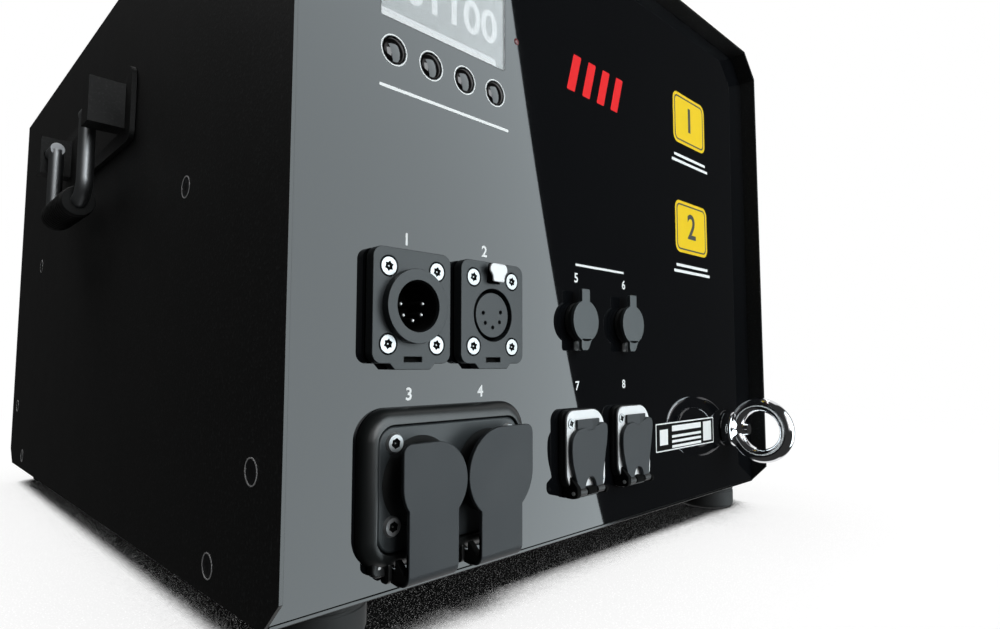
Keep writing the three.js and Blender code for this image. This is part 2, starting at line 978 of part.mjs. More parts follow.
function fuelPump() {
  const body = rodY(pumpRadius, pumpOffset, pumpZ, pumpFront, pumpBack);
  const pedestal = block(
    pumpOffset - pumpFootHalf,
    pumpOffset + pumpFootHalf,
    pumpFront,
    pumpBack,
    floorLevel,
    pumpZ,
  );
  const inlet = rodY(pumpInlet, pumpOffset, pumpZ, pumpBack - bury, tankFront - clearance, smallFacets);
  const outlet = rodZ(
    pumpOutlet,
    pumpOffset,
    (pumpFront + pumpBack) / 2,
    pumpZ,
    pumpZ + pumpRadius + pumpOutletRise,
    smallFacets,
  );
  const shaftHole = rodY(
    couplingShaft + clearance,
    pumpOffset,
    pumpZ,
    pumpFront - overrun,
    pumpFront + couplingInsert + clearance,
    smallFacets,
  );
  return body.add(pedestal).add(inlet).add(outlet).subtract(shaftHole);
}

function pumpMotor() {
  const front = motorBack - motorLength;
  const profile = [
    [0, front],
    [motorBell, front],
    [motorRadius, front + motorBellLength],
    [motorRadius, motorBack - motorBellLength],
    [motorBell, motorBack],
    [0, motorBack],
  ];
  const body = turnedY(profile, pumpOffset, pumpZ);
  const pedestal = block(
    pumpOffset - motorFootHalf,
    pumpOffset + motorFootHalf,
    front + 2 * motorBellLength,
    motorBack - 2 * motorBellLength,
    floorLevel,
    pumpZ,
  );
  const shaftHole = rodY(
    couplingShaft + clearance,
    pumpOffset,
    pumpZ,
    motorBack - couplingInsert - clearance,
    motorBack + overrun,
    smallFacets,
  );
  return body.add(pedestal).subtract(shaftHole);
}

function pumpCoupling() {
  const profile = [
    [0, motorBack - couplingInsert],
    [couplingShaft, motorBack - couplingInsert],
    [couplingShaft, motorBack + couplingPlay],
    [couplingRadius, motorBack + couplingPlay],
    [couplingRadius, pumpFront - couplingPlay],
    [couplingShaft, pumpFront - couplingPlay],
    [couplingShaft, pumpFront + couplingInsert],
    [0, pumpFront + couplingInsert],
  ];
  return turnedY(profile, pumpOffset, pumpZ, smallFacets);
}

function solenoidValve() {
  const bottom = valveTop - valveHeight;
  const body = block(
    -valveHalfWidth,
    valveHalfWidth,
    valveFront,
    burnerSetback + valveHalfLength,
    bottom,
    valveTop,
  );
  const coil = rodY(
    coilRadius,
    0,
    bottom + valveHeight / 2,
    burnerSetback + valveHalfLength - bury,
    burnerSetback + valveHalfLength + coilLength,
  );
  const seat = rodZ(
    nozzleThread + clearance,
    0,
    burnerSetback,
    cupBottom - nozzleTail - clearance,
    valveTop + overrun,
    smallFacets,
  );
  return body.add(coil).subtract(seat);
}

function accumulator() {
  const side = accumulatorRadius;
  const shoulder = floorLevel + accumulatorHeight;
  const dome = shoulder + accumulatorDome;
  const profile = [
    [0, floorLevel],
    [accumulatorFoot, floorLevel],
    [accumulatorFoot, floorLevel + accumulatorFootHeight],
    [side, floorLevel + 2 * accumulatorFootHeight],
    [side, shoulder],
  ];
  for (let i = 1; i <= 3; i += 1) {
    const angle = (i * Math.PI) / 8;
    profile.push([side * Math.cos(angle), shoulder + accumulatorDome * Math.sin(angle)]);
  }
  profile.push([accumulatorPortRadius, dome]);
  profile.push([accumulatorPortRadius, dome + accumulatorPortHeight]);
  profile.push([0, dome + accumulatorPortHeight]);
  const bottle = turnedZ(profile, -accumulatorOffset, accumulatorSetback, smallFacets);
  const port = rodX(
    accumulatorPortRadius,
    accumulatorSetback,
    floorLevel + accumulatorPortLevel,
    -accumulatorOffset,
    accumulatorPortHeight + side - accumulatorOffset,
    smallFacets,
  );
  return bottle.add(port);
}

function feedLine() {
  const y = (pumpFront + pumpBack) / 2;
  const start = pumpZ + pumpRadius + pumpOutletRise + clearance;
  const low = floorLevel + accumulatorPortLevel;
  const end = accumulatorPortHeight + accumulatorRadius - accumulatorOffset + clearance;
  const route = [
    [pumpOffset, y, start],
    [pumpOffset, y, feedPipeLevel],
    [feedPipeOffset, y, feedPipeLevel],
    [feedPipeOffset, accumulatorSetback, feedPipeLevel],
    [feedPipeOffset, accumulatorSetback, low],
    [end, accumulatorSetback, low],
  ];
  return pipe(route, pipeRadius, pipeBend);
}

function nozzleLine() {
  const start = floorLevel + accumulatorHeight + accumulatorDome + accumulatorPortHeight + clearance;
  const level = valveTop - valveHeight / 2;
  const route = [
    [-accumulatorOffset, accumulatorSetback, start],
    [-accumulatorOffset, accumulatorSetback, level],
    [0, accumulatorSetback, level],
    [0, valveFront - clearance, level],
  ];
  return pipe(route, pipeRadius, pipeBend);
}

// Ignition
function towerPlaces() {
  return [-1, 1].map((side) => -transformerOffset + (side * transformerTowerSpacing) / 2);
}

function ignitionTransformer() {
  const y = transformerSetback + transformerLength / 2;
  const top = floorLevel + transformerHeight;
  let can = block(
    -transformerOffset - transformerWidth / 2,
    -transformerOffset + transformerWidth / 2,
    transformerSetback,
    transformerSetback + transformerLength,
    floorLevel,
    top,
  );
  towerPlaces().forEach((x) => {
    can = can.add(rodZ(transformerTower, x, y, top - bury, top + transformerTowerHeight, smallFacets));
  });
  return can;
}

function ignitionLead(index) {
  const towerX = towerPlaces()[index];
  const y = transformerSetback + transformerLength / 2;
  const side = index === 0 ? -1 : 1;
  const x = side * insulatorOffset;
  const start = floorLevel + transformerHeight + transformerTowerHeight + clearance;
  const end = cupBottom - insulatorTail - electrodeTail - clearance;
  const level = index === 0 ? leadRun : leadRun - leadSpacing;
  const route = [
    [towerX, y, start],
    [towerX, y, level],
    [x, burnerSetback, level],
    [x, burnerSetback, end],
  ];
  return pipe(route, leadRadius, leadBend);
}

// Electronics on the front of the bulkhead
function powerSupply() {
  const back = bulkheadSetback - clearance;
  const front = back - supplyDepth;
  const left = supplyOffset - supplyWidth / 2;
  const right = supplyOffset + supplyWidth / 2;
  const box = block(left, right, front, back, supplyBottom, supplyBottom + supplyHeight);
  const terminalNotch = block(
    left - overrun,
    right + overrun,
    front - overrun,
    front + supplyTerminal,
    supplyBottom - overrun,
    supplyBottom + supplyTerminalHeight,
  );
  const terminal = block(
    left + supplyTerminal,
    right - supplyTerminal,
    front + supplyTerminal / 2,
    front + supplyTerminal + bury,
    supplyBottom,
    supplyBottom + supplyTerminalHeight / 2,
  );
  return box.subtract(terminalNotch).add(terminal);
}

function controlBoard() {
  const postEnd = bulkheadSetback - clearance;
  const back = postEnd - boardStandoff;
  const front = back - boardThickness;
  const left = -boardOffset - boardWidth / 2;
  const top = boardBottom + boardHeight;
  let board = block(left, left + boardWidth, front, back, boardBottom, top);
  for (const x of [left + boardStandoffInset, left + boardWidth - boardStandoffInset]) {
    for (const z of [boardBottom + boardStandoffInset, top - boardStandoffInset]) {
      board = board.add(rodY(boardStandoffRadius, x, z, front + bury, postEnd, pinFacets));
    }
  }
  for (let i = 0; i < relayCount; i += 1) {
    const x = left + relaySize + i * relayPitch;
    const z = boardBottom + relaySize;
    board = board.add(block(x, x + relaySize, front - relayHeight, front + bury, z, z + relaySize));
  }
  const chipX = -boardOffset - chipSize / 2;
  const chipZ = boardBottom + boardHeight / 2;
  const chip = block(chipX, chipX + chipSize, front - chipHeight, front + bury, chipZ, chipZ + chipSize);
  return board.add(chip);
}

// Display and keys
function keyPlaces() {
  const places = [];
  for (let i = 0; i < keyCount; i += 1) {
    places.push(keyboardX + (i - (keyCount - 1) / 2) * keyPitch);
  }
  return places;
}

function displayWindow() {
  const flangeFront = panelBack + clearance;
  const pane = roundedRectangle(
    windowWidth - 2 * clearance,
    windowHeight - 2 * clearance,
    sheet,
    keyboardX,
    windowLevel,
  );
  const flange = roundedRectangle(
    windowWidth + 2 * windowFlange,
    windowHeight + 2 * windowFlange,
    sheet,
    keyboardX,
    windowLevel,
  );
  const front = prismY(pane, rimDepth, flangeFront + bury);
  return front.add(prismY(flange, flangeFront, flangeFront + windowFlangeThickness));
}

function displayBoard() {
  const lcdFront = panelBack + clearance + windowFlangeThickness + clearance;
  const boardFront = lcdFront + lcdThickness;
  const boardBack = boardFront + boardThickness;
  const left = keyboardX - displayBoardWidth / 2;
  const right = keyboardX + displayBoardWidth / 2;
  const bottom = keyLevel - displayBoardBottom;
  const top = windowLevel + displayBoardTop;
  const halfWidth = windowWidth / 2 + windowFlange;
  const halfHeight = windowHeight / 2 + windowFlange;
  const lcd = block(
    keyboardX - halfWidth,
    keyboardX + halfWidth,
    lcdFront,
    boardFront + bury,
    windowLevel - halfHeight,
    windowLevel + halfHeight,
  );
  let board = block(left, right, boardFront, boardBack, bottom, top).add(lcd);
  const postTip = panelBack + clearance;
  for (const x of [left + displayPostInset, right - displayPostInset]) {
    const z = bottom + displayPostInset;
    board = board.add(rodY(displayPostRadius, x, z, postTip, boardFront + bury, pinFacets));
  }
  const switchFront = keyBack() + keySwitchGap;
  keyPlaces().forEach((x) => {
    const half = keySwitchSize / 2;
    const back = boardFront + bury;
    board = board.add(block(x - half, x + half, switchFront, back, keyLevel - half, keyLevel + half));
  });
  return board;
}

function keyBack() {
  return panelBack + clearance + keyFlangeThickness + keyStemLength;
}

function menuKey(x) {
  const flangeFront = panelBack + clearance;
  const flangeBack = flangeFront + keyFlangeThickness;
  const profile = [
    [0, proud(keyDome)],
    [keyRadius * keyCrownShare, proud(keyDome * keyCrownHeightShare)],
    [keyRadius * keyShoulderShare, proud(keyDome * keyShoulderHeightShare)],
    [keyRadius, proud(keyDome * keyEdgeHeightShare)],
    [keyRadius, flangeFront],
    [keyRadius + keyFlange, flangeFront],
    [keyRadius + keyFlange, flangeBack],
    [keyStem, flangeBack],
    [keyStem, keyBack()],
    [0, keyBack()],
  ];
  return turnedY(profile, x, keyLevel, smallFacets);
}

// Pairs of connectors stand either side of a centre line
function pairPlaces(centre, pitch) {
  return [centre - pitch / 2, centre + pitch / 2];
}

// Depths are counted from the panel's face towards the reader
function proud(distance) {
  return rimDepth - distance;
}

function dataFlange(x) {
  const back = proud(clearance);
  const front = proud(dataProud);
  const face = prismY(roundedRectangle(dataWidth, dataHeight, dataCorner, x, dataLevel), front, back);
  const edge = dataLevel - dataHeight / 2;
  const lip = [
    [x - dataLipTop, edge + bury],
    [x - dataLipBottom, edge - dataLipDepth],
    [x + dataLipBottom, edge - dataLipDepth],
    [x + dataLipTop, edge + bury],
  ];
  const slotTop = dataLevel - dataSlotDrop + dataSlotHeight / 2;
  const slot = block(
    x - dataSlotWidth / 2,
    x + dataSlotWidth / 2,
    front - overrun,
    front + dataSlotDepth,
    slotTop - dataSlotHeight,
    slotTop,
  );
  const barrel = rodY(dataBarrel, x, dataLevel, back - bury, rimDepth + dataBarrelLength, fineFacets);
  return face.add(prismY(outline(lip), front, back)).subtract(slot).add(barrel);
}

function plugFlange(x) {
  const front = proud(dataProud + plugRimProud);
  const rim = rodY(plugRimRadius, x, dataLevel, front, proud(dataProud - bury), fineFacets);
  const bore = rodY(
    plugBore,
    x,
    dataLevel,
    front - overrun,
    rimDepth + dataBarrelLength + overrun,
    fineFacets,
  );
  return dataFlange(x).add(rim).subtract(bore);
}

function contactPlaces(x, level) {
  return pinAngles.map((degrees) => {
    const angle = (degrees * Math.PI) / 180;
    return [x + pinCircle * Math.cos(angle), level + pinCircle * Math.sin(angle)];
  });
}

function plugInsert(x) {
  const front = rimDepth + plugFloor;
  let insert = rodY(plugBore - clearance, x, dataLevel, front, front + plugFloorThickness);
  contactPlaces(x, dataLevel).forEach(([pinX, pinZ]) => {
    insert = insert.add(rodY(pinRadius, pinX, pinZ, proud(pinTip), front + bury, pinFacets));
  });
  return insert;
}

function latchOutline(x, gap) {
  return outline([
    [x - latchBottomHalf - gap, dataLevel + latchBottom - gap],
    [x + latchBottomHalf + gap, dataLevel + latchBottom - gap],
    [x + latchTopHalf + gap, dataLevel + latchShoulder],
    [x + latchTopHalf + gap, dataLevel + latchTop + gap],
    [x - latchTopHalf - gap, dataLevel + latchTop + gap],
    [x - latchTopHalf - gap, dataLevel + latchShoulder],
  ]);
}

function jackFlange(x) {
  const bore = rodY(
    jackBore,
    x,
    dataLevel - jackDrop,
    proud(dataProud + overrun),
    rimDepth + dataBarrelLength + overrun,
    fineFacets,
  );
  const latchSlot = prismY(latchOutline(x, clearance), proud(dataProud + overrun), proud(0));
  return dataFlange(x).subtract(bore).subtract(latchSlot);
}

function jackInsertBody(x) {
  const front = proud(dataProud - jackSink);
  const back = rimDepth + plugFloor;
  const profile = [
    [0, front],
    [jackInsert, front],
    [jackInsert, back],
    [jackBore - clearance, back],
    [jackBore - clearance, back + plugFloorThickness],
    [0, back + plugFloorThickness],
  ];
  let insert = turnedY(profile, x, dataLevel - jackDrop);
  contactPlaces(x, dataLevel - jackDrop).forEach(([holeX, holeZ]) => {
    insert = insert.subtract(
      rodY(jackHole, holeX, holeZ, front - overrun, front + jackHoleDepth, pinFacets),
    );
  });
  return insert;
}

function releaseLatch(x) {
  const front = proud(dataProud + latchProud);
  const back = proud(latchTravel + latchRest);
  return prismY(latchOutline(x, 0), front, back);
}

// Mains connectors
function strapSpan(index) {
  const x = pairPlaces(mainsCentre, mainsSocketPitch)[index];
  return [x - strapWidth / 2, x + strapWidth / 2];
}

function mainsHousing() {
  const inner = roundedRectangle(
    mainsWidth - 2 * mainsBevel,
    mainsHeight - 2 * mainsBevel,
    mainsCorner - mainsBevel,
    mainsCentre,
    mainsLevel,
  );
  const height = mainsProud - clearance;
  const settings = {
    depth: bury,
    bevelThickness: height,
    bevelSize: mainsBevel,
    bevelSegments: mainsBevelSteps,
    curveSegments: arcSteps,
  };
  const bun = new THREE.ExtrudeGeometry(inner, settings);
  bun.rotateX(Math.PI / 2).translate(0, proud(clearance - bury), 0);
  const reach = mainsWidth;
  const behind = block(
    mainsCentre - reach,
    mainsCentre + reach,
    proud(clearance),
    proud(-reach),
    mainsLevel - reach,
    mainsLevel + reach,
  );
  const pocket = prismY(
    roundedRectangle(mainsPlateWidth, mainsPlateHeight, mainsPlateCorner, mainsCentre, mainsLevel),
    proud(mainsProud + overrun),
    proud(-overrun),
  );
  let housing = solid(bun).subtract(behind).subtract(pocket);
  const axis = proud(strapHingeProud);
  const spans = [strapSpan(0), strapSpan(1)];
  spans.forEach(([left, right]) => {
    const notch = rodX(
      strapKnuckleRadius + clearance,
      axis,
      strapHingeLevel,
      left - clearance,
      right + clearance,
      smallFacets,
    );
    housing = housing.subtract(notch);
  });
  spans.forEach(([left, right]) => {
    const ends = [left - clearance - strapEarWidth, right + clearance];
    ends.forEach((end) => {
      const ear = rodX(strapEarRadius, axis, strapHingeLevel, end, end + strapEarWidth, smallFacets);
      const root = block(
        end,
        end + strapEarWidth,
        axis,
        proud(clearance),
        strapHingeLevel - strapEarRadius,
        strapHingeLevel + strapEarRise,
      );
      housing = housing.add(ear).add(root);
    });
    const pinStart = ends[0] + bury;
    const pinEnd = ends[1] + strapEarWidth - bury;
    housing = housing.add(rodX(strapPinRadius, axis, strapHingeLevel, pinStart, pinEnd, pinFacets));
  });
  return housing;
}

function mainsSockets() {
  const front = proud(mainsProud - mainsPlateSink);
  const plate = roundedRectangle(
    mainsPlateWidth - 2 * clearance,
    mainsPlateHeight - 2 * clearance,
    mainsPlateCorner - clearance,
    mainsCentre,
    mainsLevel,
  );
  let body = prismY(plate, front, proud(clearance));
  pairPlaces(mainsCentre, mainsSocketPitch).forEach((x) => {
    const floor = rimDepth + mainsSocketDepth;
    const barrel = rodY(
      mainsSocketRadius,
      x,
      mainsSocketLevel,
      proud(mainsSocketProud),
      rimDepth + mainsBarrelLength,
    );
    const bore = rodY(
      mainsSocketBore,
      x,
      mainsSocketLevel,
      proud(mainsSocketProud + overrun),
      floor,
    );
    body = body.add(barrel).subtract(bore);
    for (let i = 0; i < mainsBlades; i += 1) {
      const angle = (2 * Math.PI * i) / mainsBlades + Math.PI / 2;
      const blade = rodY(
        mainsBladeRadius,
        x + mainsBladeCircle * Math.cos(angle),
        mainsSocketLevel + mainsBladeCircle * Math.sin(angle),
        floor - mainsBladeLength,
        floor + bury,
        pinFacets,
      );
      body = body.add(blade);
    }
  });
  return body;
}

// A rubber cap: a disc with one squared corner, hung on a strap that loops back to its hinge
function mainsCap(index) {
  const inlet = index === 0;
  const x = pairPlaces(mainsCentre, mainsSocketPitch)[index] + (inlet ? mainsInCapShift : 0);
  const radius = inlet ? mainsInCapRadius : mainsOutCapRadius;
  const outward = inlet ? -1 : 1;
  const front = proud(mainsCapProud);
  const back = front + mainsCapThickness;
  const [left, right] = strapSpan(index);
  const disc = rodY(radius, x, mainsSocketLevel, front, back, fineFacets);
  const corner = roundedRectangle(
    radius,
    radius,
    mainsCapCorner,
    x + (outward * radius) / 2,
    mainsSocketLevel + radius / 2,
  );
  const axis = proud(strapHingeProud);
  const loopY = front + strapLoopRadius;
  const tongue = block(left, right, front, front + strapThickness, strapLoopLevel, mainsSocketLevel);
  const ring = rodX(strapLoopRadius, loopY, strapLoopLevel, left, right);
  const ringHollow = rodX(
    strapLoopRadius - strapLoopWall,
    loopY,
    strapLoopLevel,
    left - overrun,
    right + overrun,
    smallFacets,
  );
  const upperHalf = block(
    left - overrun,
    right + overrun,
    front - overrun,
    loopY + 2 * strapLoopRadius,
    strapLoopLevel,
    strapLoopLevel + 2 * strapLoopRadius,
  );
  const loop = ring.subtract(ringHollow).subtract(upperHalf);
  const knuckle = rodX(strapKnuckleRadius, axis, strapHingeLevel, left, right, smallFacets);
  const pinHole = rodX(
    strapPinRadius + clearance,
    axis,
    strapHingeLevel,
    left - overrun,
    right + overrun,
    smallFacets,
  );
  const plug = rodY(mainsCapPlug, x, mainsSocketLevel, back - bury, back + mainsCapPlugDepth);
  const plugHollow = rodY(
    mainsCapPlug - mainsCapPlugWall,
    x,
    mainsSocketLevel,
    back,
    back + mainsCapPlugDepth + overrun,
  );
  return disc
    .add(prismY(corner, front, back))
    .add(tongue)
    .add(loop)
    .add(knuckle)
    .subtract(pinHole)
    .add(plug.subtract(plugHollow));
}

// Pyro trigger sockets and caps
function pyroSocket(x) {
  const collar = rodY(pyroCollar, x, pyroLevel, proud(pyroCollarProud), proud(clearance));
  const barrel = rodY(pyroBarrel, x, pyroLevel, proud(clearance + bury), rimDepth + pyroBarrelLength);
  const bore = rodY(
    pyroBore,
    x,
    pyroLevel,
    proud(pyroCollarProud + overrun),
    rimDepth + pyroDepth,
    smallFacets,
  );
  const tongue = block(
    x - pyroTongueHalf,
    x + pyroTongueHalf,
    proud(clearance + pyroTongueThickness),
    proud(clearance),
    pyroLevel - pyroTongueDrop,
    pyroLevel - pyroBore - bury,
  );
  let socket = collar.add(barrel).add(tongue).subtract(bore);
  for (const side of [-1, 1]) {
    const floor = rimDepth + pyroDepth;
    const pin = rodY(
      pyroPinRadius,
      x + side * pyroPinHalf,
      pyroLevel,
      floor - pyroPinLength,
      floor + bury,
      pinFacets,
    );
    socket = socket.add(pin);
  }
  return socket;
}

function pyroCap(x) {
  const back = proud(pyroCollarProud + clearance);
  const front = back - pyroCapThickness;
  const middle = (front + back) / 2;
  const disc = rodY(pyroCapRadius, x, pyroLevel, front, back);
  const tab = block(
    x - pyroTabWidth / 2,
    x + pyroTabWidth / 2,
    middle - pyroTabThickness / 2,
    middle + pyroTabThickness / 2,
    pyroLevel + pyroBore,
    pyroLevel + pyroTabTop,
  );
  const axisY = proud(pyroHingeProud);
  const axisZ = pyroLevel - pyroHingeDrop;
  const bandTop = pyroLevel - pyroCollar + clearance;
  const band = new THREE.Shape();
  const bandFront = front + clearance;
  const bandBack = bandFront + pyroTabThickness;
  band.moveTo(bandFront, bandTop);
  band.quadraticCurveTo(bandFront, axisZ - pyroKnuckle, axisY, axisZ - pyroKnuckle);
  band.lineTo(axisY, axisZ);
  band.quadraticCurveTo(bandBack, axisZ, bandBack, bandTop);
  const left = x - pyroStrapWidth / 2;
  const right = x + pyroStrapWidth / 2;
  const knuckle = rodX(pyroKnuckle, axisY, axisZ, left, right, smallFacets);
  return disc.add(tab).add(prismX(band, left, right)).add(knuckle);
}

// Arming sockets and covers
// The plate keeps tight corners at its two screws and is well rounded at the other two
function armPlateOutline(x) {
  const left = x - armWidth / 2;
  const right = x + armWidth / 2;
  const top = armLevel + armTop;
  const bottom = armLevel - armBottom;
  const shape = new THREE.Shape();
  shape.moveTo(left, top - armScrewCorner);
  shape.quadraticCurveTo(left, top, left + armScrewCorner, top);
  shape.lineTo(right - armOpenCorner, top);
  shape.quadraticCurveTo(right, top, right, top - armOpenCorner);
  shape.lineTo(right, bottom + armScrewCorner);
  shape.quadraticCurveTo(right, bottom, right - armScrewCorner, bottom);
  shape.lineTo(left + armOpenCorner, bottom);
  shape.quadraticCurveTo(left, bottom, left, bottom + armOpenCorner);
  return shape;
}

function armSocket(x) {
  const front = proud(armProud);
  const back = proud(clearance);
  const plate = prismY(armPlateOutline(x), front, back);
  const barrel = rodY(armBarrel, x, armLevel, back - bury, rimDepth + armBarrelLength);
  const bore = rodY(armBore, x, armLevel, front - overrun, rimDepth + armDepth);
  const edge = armLevel - armBottom;
  const tongueShape = [
    [x - armTongueHalf - armTongueCorner, edge + bury],
    [x - armTongueHalf, edge - armTongueDrop],
    [x + armTongueHalf, edge - armTongueDrop],
    [x + armTongueHalf + armTongueCorner, edge + bury],
  ];
  const tongue = prismY(outline(tongueShape), proud(armTongueProud), back);
  let socket = plate.add(tongue).add(barrel).subtract(bore);
  const axisY = proud(armProud + clearance + armKnuckle);
  const axisZ = armLevel - armLegBottom;
  const lugLeft = x - armLugHalf;
  const lugRight = x + armLugHalf;
  const lugRoot = front + bury;
  const lug = block(lugLeft, lugRight, axisY, lugRoot, axisZ - armKnuckle, axisZ + armKnuckle);
  socket = socket.add(rodX(armKnuckle, axisY, axisZ, lugLeft, lugRight, smallFacets)).add(lug);
  const pinLeft = x - armLegHalf;
  const pinRight = x + armLegHalf;
  socket = socket.add(rodX(armHingePin, axisY, axisZ, pinLeft, pinRight, pinFacets));
  for (let i = 0; i < armPins; i += 1) {
    const angle = (2 * Math.PI * (i + 0.5)) / armPins;
    const floor = rimDepth + armDepth;
    const pin = rodY(
      armPinRadius,
      x + armPinCircle * Math.cos(angle),
      armLevel + armPinCircle * Math.sin(angle),
      floor - armPinLength,
      floor + bury,
      pinFacets,
    );
    socket = socket.add(pin);
  }
  return socket;
}

function armCover(x) {
  const back = proud(armProud + clearance);
  const axisY = back - armKnuckle;
  const axisZ = armLevel - armLegBottom;
  const z = (offset) => armLevel + offset;
  const line = armCoverLine.map(([across, rise]) => new THREE.Vector2(x + across, z(rise)));
  const face = new THREE.Shape(new THREE.SplineCurve(line).getSpacedPoints(armCoverSteps));
  face.lineTo(x - armArchHalf, axisZ);
  face.quadraticCurveTo(x - armArchHalf, z(-armArchTop), x, z(-armArchTop));
  face.quadraticCurveTo(x + armArchHalf, z(-armArchTop), x + armArchHalf, axisZ);
  const tab = block(
    x - armTabHalf,
    x + armTabHalf,
    back - armCoverThickness - armTabProud,
    back,
    z(armCoverTop - bury),
    z(armTabTop),
  );
  let cover = prismY(face, back - armCoverThickness, back).add(tab);
  for (const side of [-1, 1]) {
    const inner = x + side * armArchHalf;
    const outer = x + side * armLegHalf;
    const low = Math.min(inner, outer);
    const high = Math.max(inner, outer);
    cover = cover.add(rodX(armKnuckle, axisY, axisZ, low, high, smallFacets));
  }
  const reach = armLegHalf + overrun;
  return cover.subtract(rodX(armHingePin + clearance, axisY, axisZ, x - reach, x + reach, smallFacets));
}

// Safety eye: a forged ring on a round collar, held by a nut behind the panel
function safetyEye() {
  const base = proud(clearance);
  const collarFront = proud(eyeCollarHeight);
  const nutFront = panelBack + clearance;
  const profile = [
    [0, collarFront],
    [eyeCollar - eyeCollarEdge, collarFront],
    [eyeCollar, collarFront + eyeCollarEdge],
    [eyeCollar, base],
    [eyeShank, base],
    [eyeShank, nutFront + bury],
    [0, nutFront + bury],
  ];
  const stem = turnedY(profile, eyeX, eyeLevel);
  const nut = rodY(eyeNut, eyeX, eyeLevel, nutFront, nutFront + eyeNutHeight, hexFacets);
  const torus = new THREE.TorusGeometry(eyeRing, eyeSection, pinFacets + 2, fineFacets);
  const ring = solid(torus.rotateY(Math.PI / 2).translate(eyeX, proud(eyeReach), eyeLevel));
  return stem.add(ring).add(nut);
}

// Casing pieces
piece("casing_cover", cover(), "powderCoat");
piece("base_tray", baseTray(), "powderCoat");
piece("front_panel", frontPanel(), "glossPanel");
piece("rear_panel", rearPanel(), "powderCoat");
piece("mid_bulkhead", midBulkhead(), "zincSteel");
const footX = casingWidth / 2 - footInsetX;
piece("foot_front_left", foot(-footX, footInsetY), "rubber");
piece("foot_front_right", foot(footX, footInsetY), "rubber");
piece("foot_rear_left", foot(-footX, casingDepth - footInsetY), "rubber");
piece("foot_rear_right", foot(footX, casingDepth - footInsetY), "rubber");
piece("handle_bracket_left", handleBracket(-1), "powderCoat");
piece("handle_bracket_right", handleBracket(1), "powderCoat");
piece("handle_left", handle(-1), "rubber");
piece("handle_right", handle(1), "rubber");

// Burner pieces
piece("top_deck", topDeck(), "stainless");
piece("burner_cup", burnerCup(), "stainless");
piece("nozzle_body", nozzleBody(), "brass");
piece("nozzle_tip", nozzleTip(), "brass");
piece("insulator_left", insulator(-1), "ceramic");
piece("insulator_right", insulator(1), "ceramic");
piece("electrode_left", electrode(-1), "stainless");
piece("electrode_right", electrode(1), "stainless");

// Fuel and ignition pieces
piece("fuel_tank", fuelTank(), "polyethylene");
piece("filler_cap", fillerCap(), "darkPlastic");
piece("fuel_pump", fuelPump(), "brass");
piece("pump_motor", pumpMotor(), "zincSteel");
piece("pump_coupling", pumpCoupling(), "zincSteel");
piece("solenoid_valve", solenoidValve(), "brass");
piece("accumulator", accumulator(), "zincSteel");
piece("feed_line", feedLine(), "stainless");
piece("nozzle_line", nozzleLine(), "stainless");
piece("ignition_transformer", ignitionTransformer(), "darkPlastic");
piece("ignition_lead_left", ignitionLead(0), "rubber");
piece("ignition_lead_right", ignitionLead(1), "rubber");

// Electronics
piece("power_supply", powerSupply(), "zincSteel");
piece("control_board", controlBoard(), "circuitBoard");
piece("display_window", displayWindow(), "clearWindow");
piece("display_board", displayBoard(), "circuitBoard");
keyPlaces().forEach((x, i) => piece(`menu_key_${i + 1}`, menuKey(x), "glossPanel"));

// Panel connectors
const [dataInX, dataOutX] = pairPlaces(dataCentre, dataPitch);
piece("dmx_in_flange", plugFlange(dataInX), "darkPlastic");
piece("dmx_in_insert", plugInsert(dataInX), "rubber");
piece("dmx_out_flange", jackFlange(dataOutX), "darkPlastic");
piece("dmx_out_insert", jackInsertBody(dataOutX), "darkPlastic");
piece("dmx_out_latch", releaseLatch(dataOutX), "nickel");
piece("power_housing", mainsHousing(), "darkPlastic");
piece("power_sockets", mainsSockets(), "darkPlastic");
piece("power_in_cap", mainsCap(0), "darkPlastic");
piece("power_out_cap", mainsCap(1), "darkPlastic");
pairPlaces(pyroCentre, pyroPitch).forEach((x, i) => {
  piece(`pyro_socket_${i + 1}`, pyroSocket(x), "rubber");
  piece(`pyro_cap_${i + 1}`, pyroCap(x), "darkPlastic");
});
const [armInX, armOutX] = pairPlaces(armCentre, armPitch);
piece("arm_in_socket", armSocket(armInX), "nickel");
piece("arm_in_cover", armCover(armInX), "darkPlastic");
piece("arm_out_socket", armSocket(armOutX), "nickel");
piece("arm_out_cover", armCover(armOutX), "darkPlastic");
piece("safety_eye", safetyEye(), "chrome");

// The origin is under the middle of the machine, safety eye included
const reachForward = eyeReach + eyeRing + eyeSection - rimDepth;
machine.position.y = -(casingDepth - reachForward) / 2;
const part = new THREE.Group();
part.add(machine);

export default part;
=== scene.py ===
# Looks of the stage flame machine: fine pieces, finishes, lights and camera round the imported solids.
# Lengths are in millimetres, with Y counted back from the casing's front edge and Z up from the floor.
import math

import bmesh
import bpy
from mathutils import Matrix, Vector


